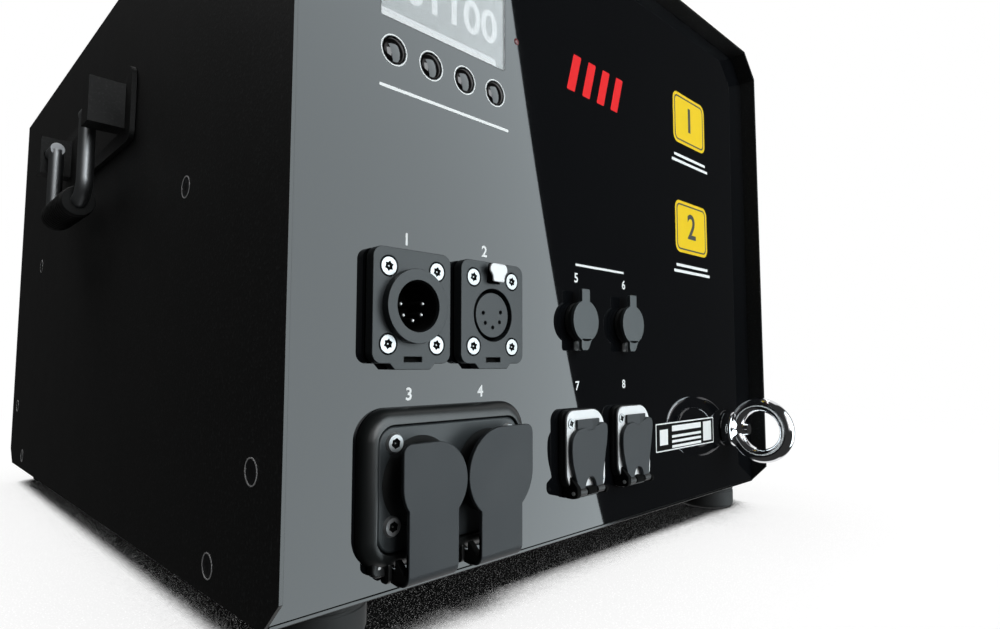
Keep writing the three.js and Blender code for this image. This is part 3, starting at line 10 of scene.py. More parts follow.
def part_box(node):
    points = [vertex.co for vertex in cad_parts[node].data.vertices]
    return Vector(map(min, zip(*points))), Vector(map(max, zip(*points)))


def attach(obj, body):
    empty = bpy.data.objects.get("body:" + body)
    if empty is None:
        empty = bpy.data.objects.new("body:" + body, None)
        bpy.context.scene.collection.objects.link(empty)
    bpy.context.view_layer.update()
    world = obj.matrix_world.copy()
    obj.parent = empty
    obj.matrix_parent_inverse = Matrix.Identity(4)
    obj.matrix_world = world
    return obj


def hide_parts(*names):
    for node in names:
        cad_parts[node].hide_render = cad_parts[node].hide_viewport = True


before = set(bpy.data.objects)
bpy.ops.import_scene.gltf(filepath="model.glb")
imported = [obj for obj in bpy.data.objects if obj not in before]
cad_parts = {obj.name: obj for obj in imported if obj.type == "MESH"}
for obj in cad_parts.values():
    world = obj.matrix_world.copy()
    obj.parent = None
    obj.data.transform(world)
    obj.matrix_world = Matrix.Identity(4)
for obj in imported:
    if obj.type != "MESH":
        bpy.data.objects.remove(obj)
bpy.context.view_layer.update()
scene = bpy.context.scene

MM = 0.001
TURN = 2 * math.pi
QUARTER = math.pi / 2
MIDDLE = 195.65  # from the front edge back to the part's own origin
PANEL = 8.3  # from the front edge back to the panel's face
SIDE = 152.0  # half the casing's width
LIFT = 12.2  # the casing's underside
HARD_EDGE, HARD_FOLD = 32, 28  # the degrees from which an edge stays sharp, or is rounded


# Places
def spot(x, y, z):
    return Vector((x, y - MIDDLE, z)) * MM


def frame_of(right, up, out, place):
    turn = Matrix((right, up, out)).transposed().to_4x4()
    return Matrix.Translation(place) @ turn @ Matrix.Scale(MM, 4)


def on_panel(x, z, proud=0.0):
    """Drawn in the panel's face: x right, y up, z towards the reader."""
    return frame_of((1, 0, 0), (0, 0, 1), (0, -1, 0), spot(x, PANEL - proud, z))


def along_x(x, y=0, z=0):
    """Drawn in a side face: x back, y up, z to the right."""
    return frame_of((0, 1, 0), (0, 0, 1), (1, 0, 0), spot(x, y, z))


def upright(x, y=0, z=0):
    """Drawn on the floor: x right, y back, z up."""
    return frame_of((1, 0, 0), (0, 1, 0), (0, 0, 1), spot(x, y, z))


def span(node):
    """A solid's lowest and highest corner."""
    return [(corner.x / MM, corner.y / MM + MIDDLE, corner.z / MM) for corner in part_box(node)]


def halfway(node):
    """A solid's middle, seen from above."""
    low, high = span(node)
    return (low[0] + high[0]) / 2, (low[1] + high[1]) / 2


# Outlines
def bent(corners, steps=8, closed=True):
    """Corners as (x, y, radius), each rounded by its own radius."""
    points = []
    count = len(corners)
    for i, (x, y, radius) in enumerate(corners):
        here = Vector((x, y))
        if radius == 0 or (not closed and i in (0, count - 1)):
            points.append(here)
            continue
        back = (Vector(corners[i - 1][:2]) - here).normalized()
        ahead = (Vector(corners[(i + 1) % count][:2]) - here).normalized()
        half = back.angle(ahead) / 2
        centre = here + (back + ahead).normalized() * radius / math.sin(half)
        start = here + back * radius / math.tan(half) - centre
        end = here + ahead * radius / math.tan(half) - centre
        first = math.atan2(start.y, start.x)
        sweep = (math.atan2(end.y, end.x) - first + math.pi) % TURN - math.pi
        for k in range(steps + 1):
            angle = first + sweep * k / steps
            points.append(centre + Vector((math.cos(angle), math.sin(angle))) * radius)
    return points


def rectangle(width, height, corner, x=0.0, y=0.0, steps=8):
    a, b = width / 2, height / 2
    return bent([(x + i * a, y + k * b, corner) for i, k in ((-1, -1), (1, -1), (1, 1), (-1, 1))], steps)


def arc(radius, first=0.0, last=TURN, steps=64, x=0.0, y=0.0):
    """Points from the first angle to the last, without the last one on a full turn."""
    count = steps if abs(abs(last - first) - TURN) < 1e-6 else steps + 1
    angles = [first + (last - first) * k / steps for k in range(count)]
    return [Vector((x + radius * math.cos(a), y + radius * math.sin(a))) for a in angles]


def flowing(points, steps=6):
    """A smooth line through its points, ends included."""
    line = []
    places = [Vector(p) for p in points]
    padded = [places[0]] + places + [places[-1]]
    for before, here, there, after in zip(padded, places, places[1:], padded[3:]):
        for k in range(steps):
            t = k / steps
            slope = (there - before) * t
            pull = (2 * before - 5 * here + 4 * there - after) * t * t
            twist = (3 * here - 3 * there + after - before) * t ** 3
            line.append(0.5 * (2 * here + slope + pull + twist))
    return line + [places[-1]]


# Forms, each in its own small frame
def lay(curve, points, closed):
    """One line of straight pieces, added to a curve."""
    spline = curve.splines.new("POLY")
    spline.points.add(len(points) - 1)
    spline.use_cyclic_u = closed
    for place, point in zip(spline.points, points):
        place.co = (*point, 1)


def form_of(curve, seam=1e-4):
    """The mesh of a curve or a text, with its seams joined."""
    holder = bpy.data.objects.new("form", curve)
    mesh = bpy.data.meshes.new_from_object(holder)
    form = bmesh.new()
    form.from_mesh(mesh)
    bpy.data.objects.remove(holder)
    bpy.data.curves.remove(curve)
    bpy.data.meshes.remove(mesh)
    bmesh.ops.remove_doubles(form, verts=form.verts, dist=seam)
    return form


def outward(form):
    """Turns every face's front to the outside."""
    bmesh.ops.recalc_face_normals(form, faces=form.faces)
    return form


def slab(outlines, low, high, edge=0.25, rounds=3):
    """A plate between two heights, with its edges rounded, from an outline and its holes."""
    curve = bpy.data.curves.new("slab", "CURVE")
    curve.dimensions = "2D"
    curve.fill_mode = "BOTH"
    curve.extrude = (high - low) / 2 - edge
    curve.bevel_depth = edge
    curve.bevel_resolution = rounds - 1
    curve.offset = -edge
    for points in outlines:
        lay(curve, [(*point, 0) for point in points], True)
    form = outward(form_of(curve, 1e-3))
    bmesh.ops.translate(form, vec=(0, 0, (low + high) / 2), verts=form.verts)
    return form


def turned(profile, steps=64):
    """A half section of (radius, height), turned about its axis; a radius of 0 is a closed pole."""
    form = bmesh.new()
    rings = []
    for radius, height in profile:
        ring = [(0, 0)] if radius < 1e-6 else arc(radius, steps=steps)
        rings.append([form.verts.new((*point, height)) for point in ring])
    for lower, upper in zip(rings, rings[1:]):
        for k in range(steps):
            n = (k + 1) % steps
            corners = [lower[k % len(lower)], lower[n % len(lower)]]
            corners += [upper[n % len(upper)], upper[k % len(upper)]]
            corners = [c for i, c in enumerate(corners) if c not in corners[:i]]
            if len(corners) > 2:
                form.faces.new(corners)
    bmesh.ops.remove_doubles(form, verts=form.verts, dist=1e-4)
    return outward(form)


def lofted(rings):
    """A skin over closed rings of equal count, open at both ends."""
    form = bmesh.new()
    made = [[form.verts.new(p) for p in ring] for ring in rings]
    for lower, upper in zip(made, made[1:]):
        for k in range(len(lower)):
            n = (k + 1) % len(lower)
            form.faces.new((lower[k], lower[n], upper[n], upper[k]))
    return form


def tube(points, radius, closed, rounds):
    curve = bpy.data.curves.new("tube", "CURVE")
    curve.dimensions = "3D"
    curve.bevel_depth = radius
    curve.bevel_resolution = rounds
    curve.use_fill_caps = not closed
    lay(curve, [(*point, 0) for point in points], closed)
    return outward(form_of(curve))


def contact(radius, tip, foot):
    """A straight round contact with a domed tip."""
    return turned([(0, tip), (radius - 0.3, tip - 0.1), (radius, tip - 0.5), (radius, foot), (0, foot)], 16)


def numeral(words, size, thickness, bold):
    letters = bpy.data.curves.new("numeral", "FONT")
    letters.body = words
    letters.size = size
    letters.align_x = "CENTER"
    letters.align_y = "CENTER"
    letters.extrude = thickness / 2
    letters.offset = bold
    letters.resolution_u = 4
    return form_of(letters)


def curled(form, level, roller, sheet, front):
    """Bends what hangs below a level back round a roller, as the strap's loop goes."""
    middle = roller - sheet / 2
    length = math.pi * middle * CURL
    for k in range(1, CURL_CUTS + 1):
        cut = form.verts[:] + form.edges[:] + form.faces[:]
        line = level - length * k / CURL_CUTS
        bmesh.ops.bisect_plane(form, geom=cut, plane_co=(0, line, 0), plane_no=(0, 1, 0))
    for vert in form.verts:
        drop = level - vert.co.y
        if drop > 0:
            angle = drop / middle
            reach = vert.co.z - (front - roller)
            vert.co.y = level - reach * math.sin(angle)
            vert.co.z = front - roller + reach * math.cos(angle)
    return outward(form)


# A piece is gathered from forms, each with its place and finish
class Piece:
    def __init__(self, home=None):
        self.home = home
        self.form = bmesh.new()
        self.finishes = []

    def put(self, form, finish, place=None):
        form.transform(self.home if place is None else place)
        if finish not in self.finishes:
            self.finishes.append(finish)
        for face in form.faces:
            face.material_index = self.finishes.index(finish)
        mesh = bpy.data.meshes.new("form")
        form.to_mesh(mesh)
        form.free()
        self.form.from_mesh(mesh)
        bpy.data.meshes.remove(mesh)
        return self

    def done(self, name, body, slot, *instead_of):
        mesh = bpy.data.meshes.new(name)
        self.form.to_mesh(mesh)
        self.form.free()
        for finish in self.finishes:
            mesh.materials.append(finish)
        holder = linked(name, mesh)
        smoothed(holder)
        settle(holder, body, slot, *instead_of)

    def fine(self, node, body, slot):
        """Done, in the place of one solid."""
        self.done(node + "_fine", body, slot, node)


def linked(name, data):
    holder = bpy.data.objects.new(name, data)
    scene.collection.objects.link(holder)
    return holder


def applied(holder):
    """Turns an object's modifiers into its mesh."""
    view = bpy.context.evaluated_depsgraph_get()
    holder.data = bpy.data.meshes.new_from_object(holder.evaluated_get(view))
    holder.modifiers.clear()


def smoothed(holder):
    """Smooth shading that keeps hard edges and leaves flat faces flat."""
    holder.data.shade_smooth()
    holder.data.set_sharp_from_angle(angle=math.radians(HARD_EDGE))
    even = holder.modifiers.new("even", "WEIGHTED_NORMAL")
    even.keep_sharp = True
    even.weight = 90
    applied(holder)


def settle(holder, body, slot, *instead_of):
    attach(holder, body)
    if instead_of:
        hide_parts(*instead_of)


def softened(node, finish, slot, width, rounds=2):
    """A copy of a solid with its hard edges rounded, as bent sheet and cast pieces have."""
    hard = math.radians(HARD_FOLD)
    form = bmesh.new()
    form.from_mesh(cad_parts[node].data)
    bmesh.ops.remove_doubles(form, verts=form.verts, dist=2e-6)
    bmesh.ops.dissolve_limit(form, angle_limit=math.radians(0.6), verts=form.verts, edges=form.edges)
    mesh = bpy.data.meshes.new(node + "_skin")
    form.to_mesh(mesh)
    form.free()
    mesh.materials.clear()
    mesh.materials.append(finish)
    mesh.shade_smooth()
    mesh.set_sharp_from_angle(angle=hard)
    holder = linked(node + "_skin", mesh)
    bevel = holder.modifiers.new("bevel", "BEVEL")
    bevel.harden_normals = True
    bevel.width = width * MM
    bevel.segments = rounds
    bevel.limit_method = "ANGLE"
    bevel.angle_limit = hard
    bevel.miter_outer = "MITER_ARC"
    applied(holder)
    settle(holder, "casing", slot, node)
    return holder


def front_faced(holder, finish):
    """Gives the faces that look forward a finish of their own."""
    holder.data.materials.append(finish)
    last = len(holder.data.materials) - 1
    for face in holder.data.polygons:
        if -face.normal.y > 0.9:
            face.material_index = last


# Finishes
def colour(code):
    """An sRGB hex value as linear light."""
    parts = [int(code[i:i + 2], 16) / 255 for i in (1, 3, 5)]
    return [p / 12.92 if p <= 0.04045 else ((p + 0.055) / 1.055) ** 2.4 for p in parts] + [1.0]


def add(tree, kind, links=None, **settings):
    """One node, with its settings and what feeds it; a node given as a feed stands for its first output."""
    node = tree.nodes.new(kind)
    for name, value in settings.items():
        setattr(node, name, value)
    for name, value in (links or {}).items():
        if isinstance(value, bpy.types.Node):
            tree.links.new(value.outputs[0], node.inputs[name])
        elif isinstance(value, bpy.types.NodeSocket):
            tree.links.new(value, node.inputs[name])
        else:
            node.inputs[name].default_value = value
    return node


def per(size):
    """A pattern's scale from its size in millimetres."""
    return 1 / (size * MM)


def maths(tree, kind, *values):
    return add(tree, "ShaderNodeMath", dict(enumerate(values)), operation=kind)


def ranged(tree, value, low, high, to_low=0.0, to_high=1.0, **settings):
    """A value's range, carried over to another one."""
    limits = {"Value": value, "From Min": low, "From Max": high, "To Min": to_low, "To Max": to_high}
    return add(tree, "ShaderNodeMapRange", limits, **settings)


def eased(tree, value, low, high, to_low=0.0, to_high=1.0):
    return ranged(tree, value, low, high, to_low, to_high, interpolation_type="SMOOTHSTEP")


def tinted(tree, share, dark, light):
    colours = {"Factor": share, 6: colour(dark), 7: colour(light)}
    return add(tree, "ShaderNodeMix", colours, data_type="RGBA").outputs[2]


def noise(tree, where, size, detail=2.0, **more):
    """A cloudy pattern of a size in millimetres."""
    sockets = {"Vector": where, "Scale": per(size), "Detail": detail, **more}
    return add(tree, "ShaderNodeTexNoise", sockets)


class Look:
    """A material in object coordinates, with its constants on the shader's own sockets."""

    def __init__(self, name, base, roughness, metallic=0.0, **sockets):
        self.made = bpy.data.materials.new(name)
        self.made.use_nodes = True
        self.tree = self.made.node_tree
        self.shader = self.tree.nodes["Principled BSDF"]
        constants = {"Base_Color": colour(base), "Roughness": roughness, "Metallic": metallic, **sockets}
        for socket, value in constants.items():
            self.shader.inputs[socket.replace("_", " ")].default_value = value
        self.where = add(self.tree, "ShaderNodeTexCoord").outputs["Object"]

    def feed(self, socket, value):
        self.tree.links.new(value if isinstance(value, bpy.types.NodeSocket) else value.outputs[0],
                            self.shader.inputs[socket])
        return self

    def cloud(self, size, detail=2.0, along=None, **more):
        """A noise, drawn out along one axis if asked."""
        where = self.where
        if along:
            where = add(self.tree, "ShaderNodeMapping", {"Vector": where, "Scale": along})
        return noise(self.tree, where, size, detail, **more)

    def gloss(self, cloud, low, high):
        return self.feed("Roughness", ranged(self.tree, cloud, 0.0, 1.0, low, high))

    def mottle(self, dark, light, size, low, high):
        """Slow changes of colour and gloss over a surface."""
        cloud = self.cloud(size, 4.0)
        return self.feed("Base Color", tinted(self.tree, cloud, dark, light)).gloss(cloud, low, high)

    def relief(self, height, depth, strength):
        sockets = {"Height": height, "Distance": depth * MM, "Strength": strength}
        return self.feed("Normal", add(self.tree, "ShaderNodeBump", sockets))

    def grain(self, size, depth, strength, detail=2.0, along=None):
        """A noise as a fine relief."""
        return self.relief(self.cloud(size, detail, along), depth, strength)


def powder_coat():
    # Fine-texture polyester powder on steel: near black, with a tight peel that breaks light into specks.
    # The real peel is about 0.4 mm across; it is drawn at 1.1 mm, or it wouldn't show.
    look = Look("powder_coated_steel", "#0f1010", 0.62, IOR=1.5)
    peel = look.cloud(1.1, 3.0, Roughness=0.62)
    speck = ranged(look.tree, peel, 0.54, 0.72)
    look.feed("Base Color", tinted(look.tree, speck, "#070808", "#303232"))
    return look.gloss(look.cloud(40, 4.0), 0.5, 0.66).relief(peel, 0.09, 0.8).made


def sheet_edge():
    # The cut front edge of the powder-coated sheet: the same black, but flowed smooth, so it mirrors.
    look = Look("smooth_powder_edge", "#0c0d0d", 0.08, IOR=1.5)
    return look.mottle("#0a0b0b", "#0f1010", 20, 0.06, 0.12).grain(4, 0.01, 0.3).made


# The panel's bow, in metres: its middle height, its half height, its slope and the line that it turns about
BOW_LEVEL, BOW_REACH, BOW_TILT, BOW_SIDE = 0.104, 0.115, 0.0078, -0.04


def gloss_panel():
    # Black acrylic-faced panel: a mirror-like dark sheet, with a faint change of gloss.
    # The sheet bows by a few hundredths of a millimetre at mid height, which bends long reflections.
    look = Look("gloss_black_acrylic", "#0b0c0e", 0.015, IOR=1.5)
    tree = look.tree
    place = add(tree, "ShaderNodeSeparateXYZ", {"Vector": look.where}).outputs
    rise = ranged(tree, place["Z"], BOW_LEVEL - BOW_REACH, BOW_LEVEL + BOW_REACH, -1.0, 1.0, clamp=False)
    bow = maths(tree, "MULTIPLY_ADD", maths(tree, "MULTIPLY", rise, rise), -1.0, 1.0)
    slope = maths(tree, "MULTIPLY", bow, maths(tree, "SUBTRACT", place["X"], BOW_SIDE))
    look.relief(maths(tree, "MULTIPLY", slope, -BOW_TILT), 1 / MM, 1.0)
    return look.mottle("#0a0b0d", "#0d0e10", 60, 0.01, 0.025).made


def rubber(name="moulded_rubber", dark="#0f1010", light="#171818"):
    # Moulded rubber: matt black with a faint bloom and a fine pebble from the tool.
    return Look(name, dark, 0.75, IOR=1.52).mottle(dark, light, 9, 0.66, 0.82).grain(0.6, 0.03, 0.5).made


def moulded(name, dark, light, low, high, shine=0.5):
    # Glass-filled nylon, moulded: charcoal, satin, with a fine spark-eroded grain.
    look = Look(name, dark, low, IOR=1.53, Specular_IOR_Level=shine)
    return look.mottle(dark, light, 14, low, high).grain(0.35, 0.015, 0.5).made


def plated(name, dark, light, low, high, scratch=0.4):
    # Plated steel: bright with thin polishing lines that stretch highlights.
    look = Look(name, dark, low, 1.0).mottle(dark, light, 6, low, high)
    return look.grain(0.5, 0.006, scratch, along=(1.0, 0.12, 1.0)).made


def bright_satin(name, dark, light):
    # Bead-blasted nickel: pale, soft and nearly without mirror images, so it stays bright at any angle.
    return Look(name, dark, 0.5, 0.25).mottle(dark, light, 3, 0.45, 0.58).grain(0.3, 0.01, 0.4).made


def heat_tinted():
    # Stainless burner sheet: brushed, with straw and blue temper colours growing towards the flame's side.
    look = Look("heat_tinted_stainless", "#a9a49b", 0.32, 1.0)
    tree = look.tree
    height = add(tree, "ShaderNodeSeparateXYZ", {"Vector": look.where}).outputs["Z"]
    level = maths(tree, "ADD", height, maths(tree, "MULTIPLY", look.cloud(16, 4.0), 0.02))
    ramp = add(tree, "ShaderNodeValToRGB", {"Fac": ranged(tree, level, 0.222, 0.300)})
    stops = [(0.0, "#8d8a86"), (0.3, "#7f8494"), (0.5, "#8c7f8a"), (0.7, "#b39c78"), (1.0, "#b4b1aa")]
    while len(ramp.color_ramp.elements) < len(stops):
        ramp.color_ramp.elements.new(0.5)
    for element, (place, code) in zip(ramp.color_ramp.elements, stops):
        element.position = place
        element.color = colour(code)
    return look.feed("Base Color", ramp).grain(0.7, 0.01, 0.4, along=(1.0, 1.0, 0.05)).made


def brushed(name, dark, light, low, high):
    # Rolled sheet or drawn bar: satin metal with long fine lines along the depth.
    look = Look(name, dark, low, 1.0).mottle(dark, light, 25, low, high)
    return look.grain(0.6, 0.008, 0.5, 3.0, (1.0, 0.03, 1.0)).made


def ceramic():
    # Glazed alumina: warm white, glossy, with slight pooling of the glaze.
    return Look("glazed_alumina", "#e6e1d6", 0.22, IOR=1.6).mottle("#ddd7ca", "#ebe7de", 7, 0.16, 0.3).made


def tank_plastic():
    # Rotomoulded polyethylene: milky and waxy, with soft mottling of the wall's thickness.
    look = Look("rotomoulded_polyethylene", "#d7d6cb", 0.45, IOR=1.51)
    return look.mottle("#cfcec2", "#dedcd2", 30, 0.4, 0.55).grain(3.5, 0.08, 0.4).made


def circuit_board():
    # Solder-resist green glass-epoxy, with the copper runs faintly seen under it.
    look = Look("solder_resist_board", "#1b5231", 0.35, IOR=1.5)
    upended = add(look.tree, "ShaderNodeMapping", {"Vector": look.where, "Rotation": (QUARTER, 0, 0)})
    runs = add(look.tree, "ShaderNodeTexBrick", {
        "Vector": upended, "Scale": per(5), "Color1": colour("#1b5231"), "Color2": colour("#22623b"),
        "Mortar": colour("#2f7a4c"), "Mortar Size": 0.03, "Brick Width": 1.4, "Row Height": 0.5})
    return look.feed("Base Color", runs).relief(runs.outputs["Fac"], 0.03, 0.4).made


def clear_pane():
    # Hard-coated acrylic pane over the display: clear, with a faint haze.
    look = Look("clear_acrylic_pane", "#ffffff", 0.02, IOR=1.49, Transmission_Weight=1.0)
    return look.gloss(look.cloud(18), 0.01, 0.035).made


def lit(name, base, glow, strength):
    # A backlit display layer: a flat glow with the dot grid of the glass just showing.
    look = Look(name, "#101111", 0.6, Emission_Strength=strength, Specular_IOR_Level=0.1)
    return look.feed("Emission Color", tinted(look.tree, look.cloud(0.5, 1.0), glow, base)).made


def ink(name, base, light):
    # Screen-printed ink: an even matt film with a slight grain at its edge.
    return Look(name, base, 0.5, Specular_IOR_Level=0.2).mottle(base, light, 2.5, 0.5, 0.65).made


def painted_shade(name, dark):
    # Painted shade: rough near-black with almost no gloss, for the insides of recesses, bores, slots and screw holes
    # and for dark pieces in shade, so that they read as shadow; it is also the black ground of the rating label's
    # print.
    look = Look(name, dark, 0.85, IOR=1.45, Specular_IOR_Level=0.12)
    return look.mottle(dark, "#0a0a09", 2, 0.8, 0.95).made


POWDER = powder_coat()
# Painted shade black, which is also the rating label's black print
SHADE_AND_LABEL_BLACK = painted_shade("painted_shade_and_label_black", "#050505")
EDGE = sheet_edge()
GLOSS = gloss_panel()
RUBBER = rubber()
LEAD_RUBBER = rubber("silicone_lead_sheath", "#5d1713", "#74211b")
FLANGE = moulded("charcoal_nylon", "#282c2e", "#2d3133", 0.36, 0.46, 0.34)
TRIGGER = moulded("trigger_cap_rubber", "#373d3f", "#3c4244", 0.42, 0.52)
# Painted highlight: near-white, for the bar that stands for the light on the trigger strap's inner side.
STRAP_GLINT = moulded("strap_bar_painted_highlight", "#dfe2e3", "#e6e9ea", 0.42, 0.52)
CAP = moulded("cap_rubber_charcoal", "#2a2d2f", "#2f3235", 0.48, 0.6, 0.3)
# Painted shade: the mains sockets' wells, near-black and duller than their black plastic, for the shade round the
# caps.
WELL_SHADE = moulded("socket_well_black_and_painted_shade", "#070808", "#0b0c0c", 0.6, 0.75, 0.15)
FRAME = moulded("soft_black_gasket", "#151717", "#1a1c1c", 0.28, 0.4)
BLACK = moulded("black_nylon", "#0b0c0c", "#111212", 0.38, 0.52)
KEY = moulded("gloss_black_key", "#050505", "#080808", 0.05, 0.1)
NICKEL = plated("nickel_plate", "#c9cacb", "#dadbdc", 0.2, 0.32)
SATIN = bright_satin("bead_blasted_nickel", "#b9bbbb", "#c4c6c6")
# Pale bead-blasted nickel, also used for painted highlights.
BARE_AND_GLINT = bright_satin("pale_nickel_and_painted_highlight", "#dcdcdc", "#e6e6e6")
SCREW = plated("zinc_flake_screw", "#aaacad", "#b4b6b7", 0.42, 0.52, 0.2)
HEAD = plated("blackened_screw", "#3c3e40", "#4a4c4e", 0.34, 0.46, 0.3)
CHROME = plated("polished_chrome", "#dcdde0", "#e8e9eb", 0.05, 0.1, 0.15)
STAINLESS = heat_tinted()
ZINC = brushed("zinc_plated_steel", "#9fa3a6", "#b4b7b9", 0.35, 0.5)
ALUMINIUM = brushed("satin_aluminium", "#b9bbbd", "#c8cacb", 0.3, 0.42)
BRASS = plated("turned_brass", "#b58a3c", "#c69a48", 0.25, 0.36)
CERAMIC = ceramic()
TANK = tank_plastic()
BOARD = circuit_board()
PANE = clear_pane()
SCREEN = lit("display_glass", "#a6adae", "#b0b7b8", 0.12)
DIGITS = lit("display_digits", "#e3e6e8", "#eceff1", 0.42)
WHITE = ink("white_print", "#f1f1ef", "#f6f6f5")
YELLOW = ink("yellow_print", "#eec600", "#f4cd04")
RED = ink("red_print", "#e80009", "#f0040e")
LAMP = moulded("red_lens", "#5d1a1c", "#6d2023", 0.12, 0.2)


# Repeated fittings, grown on points by one tree each
def tree_of(name, **sizes):
    """A geometry tree with named sizes; gives the tree and its inputs."""
    tree = bpy.data.node_groups.new(name, "GeometryNodeTree")
    tree.interface.new_socket("Geometry", in_out="INPUT", socket_type="NodeSocketGeometry")
    kinds = {tuple: "NodeSocketVector", int: "NodeSocketInt", float: "NodeSocketFloat"}
    for size, value in {"Facing": (0.0, 0.0, 0.0), **sizes}.items():
        socket = tree.interface.new_socket(size, in_out="INPUT", socket_type=kinds[type(value)])
        socket.default_value = value
    for socket in ("Finish", "Recess Shade Finish"):
        tree.interface.new_socket(socket, in_out="INPUT", socket_type="NodeSocketMaterial")
    tree.interface.new_socket("Geometry", in_out="OUTPUT", socket_type="NodeSocketGeometry")
    return tree, tree.nodes.new("NodeGroupInput").outputs


def close_tree(tree, given, made):
    """Sets the made form on every point; what already has the recess's painted shade keeps it."""
    points = add(tree, "GeometryNodeMeshToPoints", {"Mesh": given["Geometry"]})
    spread = add(tree, "GeometryNodeInstanceOnPoints", {
        "Points": points, "Instance": made, "Rotation": given["Facing"]})
    real = add(tree, "GeometryNodeRealizeInstances", {"Geometry": spread})
    sunk = add(tree, "GeometryNodeMaterialSelection", {"Material": given["Recess Shade Finish"]})
    rest = add(tree, "FunctionNodeBooleanMath", {0: sunk}, operation="NOT")
    dressed = add(tree, "GeometryNodeSetMaterial", {
        "Geometry": real, "Material": given["Finish"], "Selection": rest})
    add(tree, "NodeGroupOutput", {"Geometry": dressed})
    return tree


def joined(tree, first, second):
    both = add(tree, "GeometryNodeJoinGeometry", {"Geometry": first})
    tree.links.new(second.outputs[0], both.inputs["Geometry"])
    return both


def screw_tree():
    """A round head, sunk by a star of lobes that takes the recess's painted shade, and a small pin in the middle."""
    tree, given = tree_of(
        "screw_heads", Radius=3 * MM, Height=1 * MM, Edge=0.92,
        Recess=1.5 * MM, Inner=1.2 * MM, Lobes=6, Pin=0.4 * MM)
    body = add(tree, "GeometryNodeMeshCone", {
        "Vertices": 40, "Radius Bottom": given["Radius"], "Depth": given["Height"],
        "Radius Top": maths(tree, "MULTIPLY", given["Radius"], given["Edge"])})
    star = add(tree, "GeometryNodeCurveStar", {
        "Points": given["Lobes"], "Inner Radius": given["Inner"], "Outer Radius": given["Recess"]})
    flat = add(tree, "GeometryNodeFillCurve", {"Curve": star}, mode="NGONS")
    raised = add(tree, "GeometryNodeExtrudeMesh", {
        "Mesh": flat, "Offset Scale": given["Height"], "Individual": False})
    both = joined(tree, add(tree, "GeometryNodeFlipFaces", {"Mesh": flat}), raised)
    closed = add(tree, "GeometryNodeMergeByDistance", {"Geometry": both, "Distance": 1e-6})
    lift = add(tree, "ShaderNodeCombineXYZ", {"Z": maths(tree, "MULTIPLY", given["Height"], 0.25)})
    tool = add(tree, "GeometryNodeTransform", {
        "Geometry": closed, "Translation": lift, "Rotation": (0, 0, math.radians(20))})
    dark = add(tree, "GeometryNodeSetMaterial", {"Geometry": tool, "Material": given["Recess Shade Finish"]})
    cut = add(tree, "GeometryNodeMeshBoolean", {
        "Mesh 1": body, "Mesh 2": dark}, operation="DIFFERENCE", solver="EXACT")
    pin = add(tree, "GeometryNodeMeshCone", {
        "Vertices": 12, "Radius Bottom": given["Pin"],
        "Radius Top": maths(tree, "MULTIPLY", given["Pin"], 0.6),
        "Depth": maths(tree, "MULTIPLY", given["Height"], 0.7)})
    return close_tree(tree, given, joined(tree, pin, cut))


def ring_tree():
    """A fine ring, lying flat: a printed ring, a ridge or a groove's edge."""
    tree, given = tree_of("fine_rings", Radius=5 * MM, Width=0.3 * MM, Height=0.05 * MM)
    path = add(tree, "GeometryNodeCurvePrimitiveCircle", {"Resolution": 64, "Radius": given["Radius"]})
    section = add(tree, "GeometryNodeCurvePrimitiveQuadrilateral", {
        "Width": given["Width"], "Height": given["Height"]})
    swept = add(tree, "GeometryNodeCurveToMesh", {"Curve": path, "Profile Curve": section})
    return close_tree(tree, given, swept)


def bead_tree():
    """Rounded rings, as on a ribbed grip or insulator."""
    tree, given = tree_of("round_ribs", Radius=7 * MM, Bead=0.6 * MM)
    path = add(tree, "GeometryNodeCurvePrimitiveCircle", {"Resolution": 40, "Radius": given["Radius"]})
    section = add(tree, "GeometryNodeCurvePrimitiveCircle", {"Resolution": 10, "Radius": given["Bead"]})
    swept = add(tree, "GeometryNodeCurveToMesh", {"Curve": path, "Profile Curve": section})
    return close_tree(tree, given, add(tree, "GeometryNodeSetShadeSmooth", {"Geometry": swept}))


def grown(name, tree, places, finish, slot, facing, body="casing", **sizes):
    """One piece of many equal fittings; all sizes are lengths, but for the edge's share and the lobes' count."""
    mesh = bpy.data.meshes.new(name)
    mesh.from_pydata([spot(*place) for place in places], [], [])
    holder = linked(name, mesh)
    growth = holder.modifiers.new("growth", "NODES")
    growth.node_group = tree
    values = {size: value if size in ("Edge", "Lobes") else value * MM for size, value in sizes.items()}
    # The star recesses take the painted shade black.
    values.update({"Facing": facing, "Finish": finish, "Recess Shade Finish": SHADE_AND_LABEL_BLACK})
    for item in tree.interface.items_tree:
        if item.in_out == "INPUT" and item.name in values:
            growth[item.identifier] = values[item.name]
    applied(holder)
    smoothed(holder)
    settle(holder, body, slot)


SCREWS = screw_tree()
RINGS = ring_tree()
BEADS = bead_tree()
TO_FRONT = (QUARTER, 0.0, 0.0)
TO_BACK = (-QUARTER, 0.0, 0.0)
TO_RIGHT = (0.0, QUARTER, 0.0)
TO_LEFT = (0.0, -QUARTER, 0.0)
UP = (0.0, 0.0, 0.0)
CASE_HEAD = {"Radius": 3.75, "Recess": 1.7, "Inner": 1.25, "Pin": 0.01}


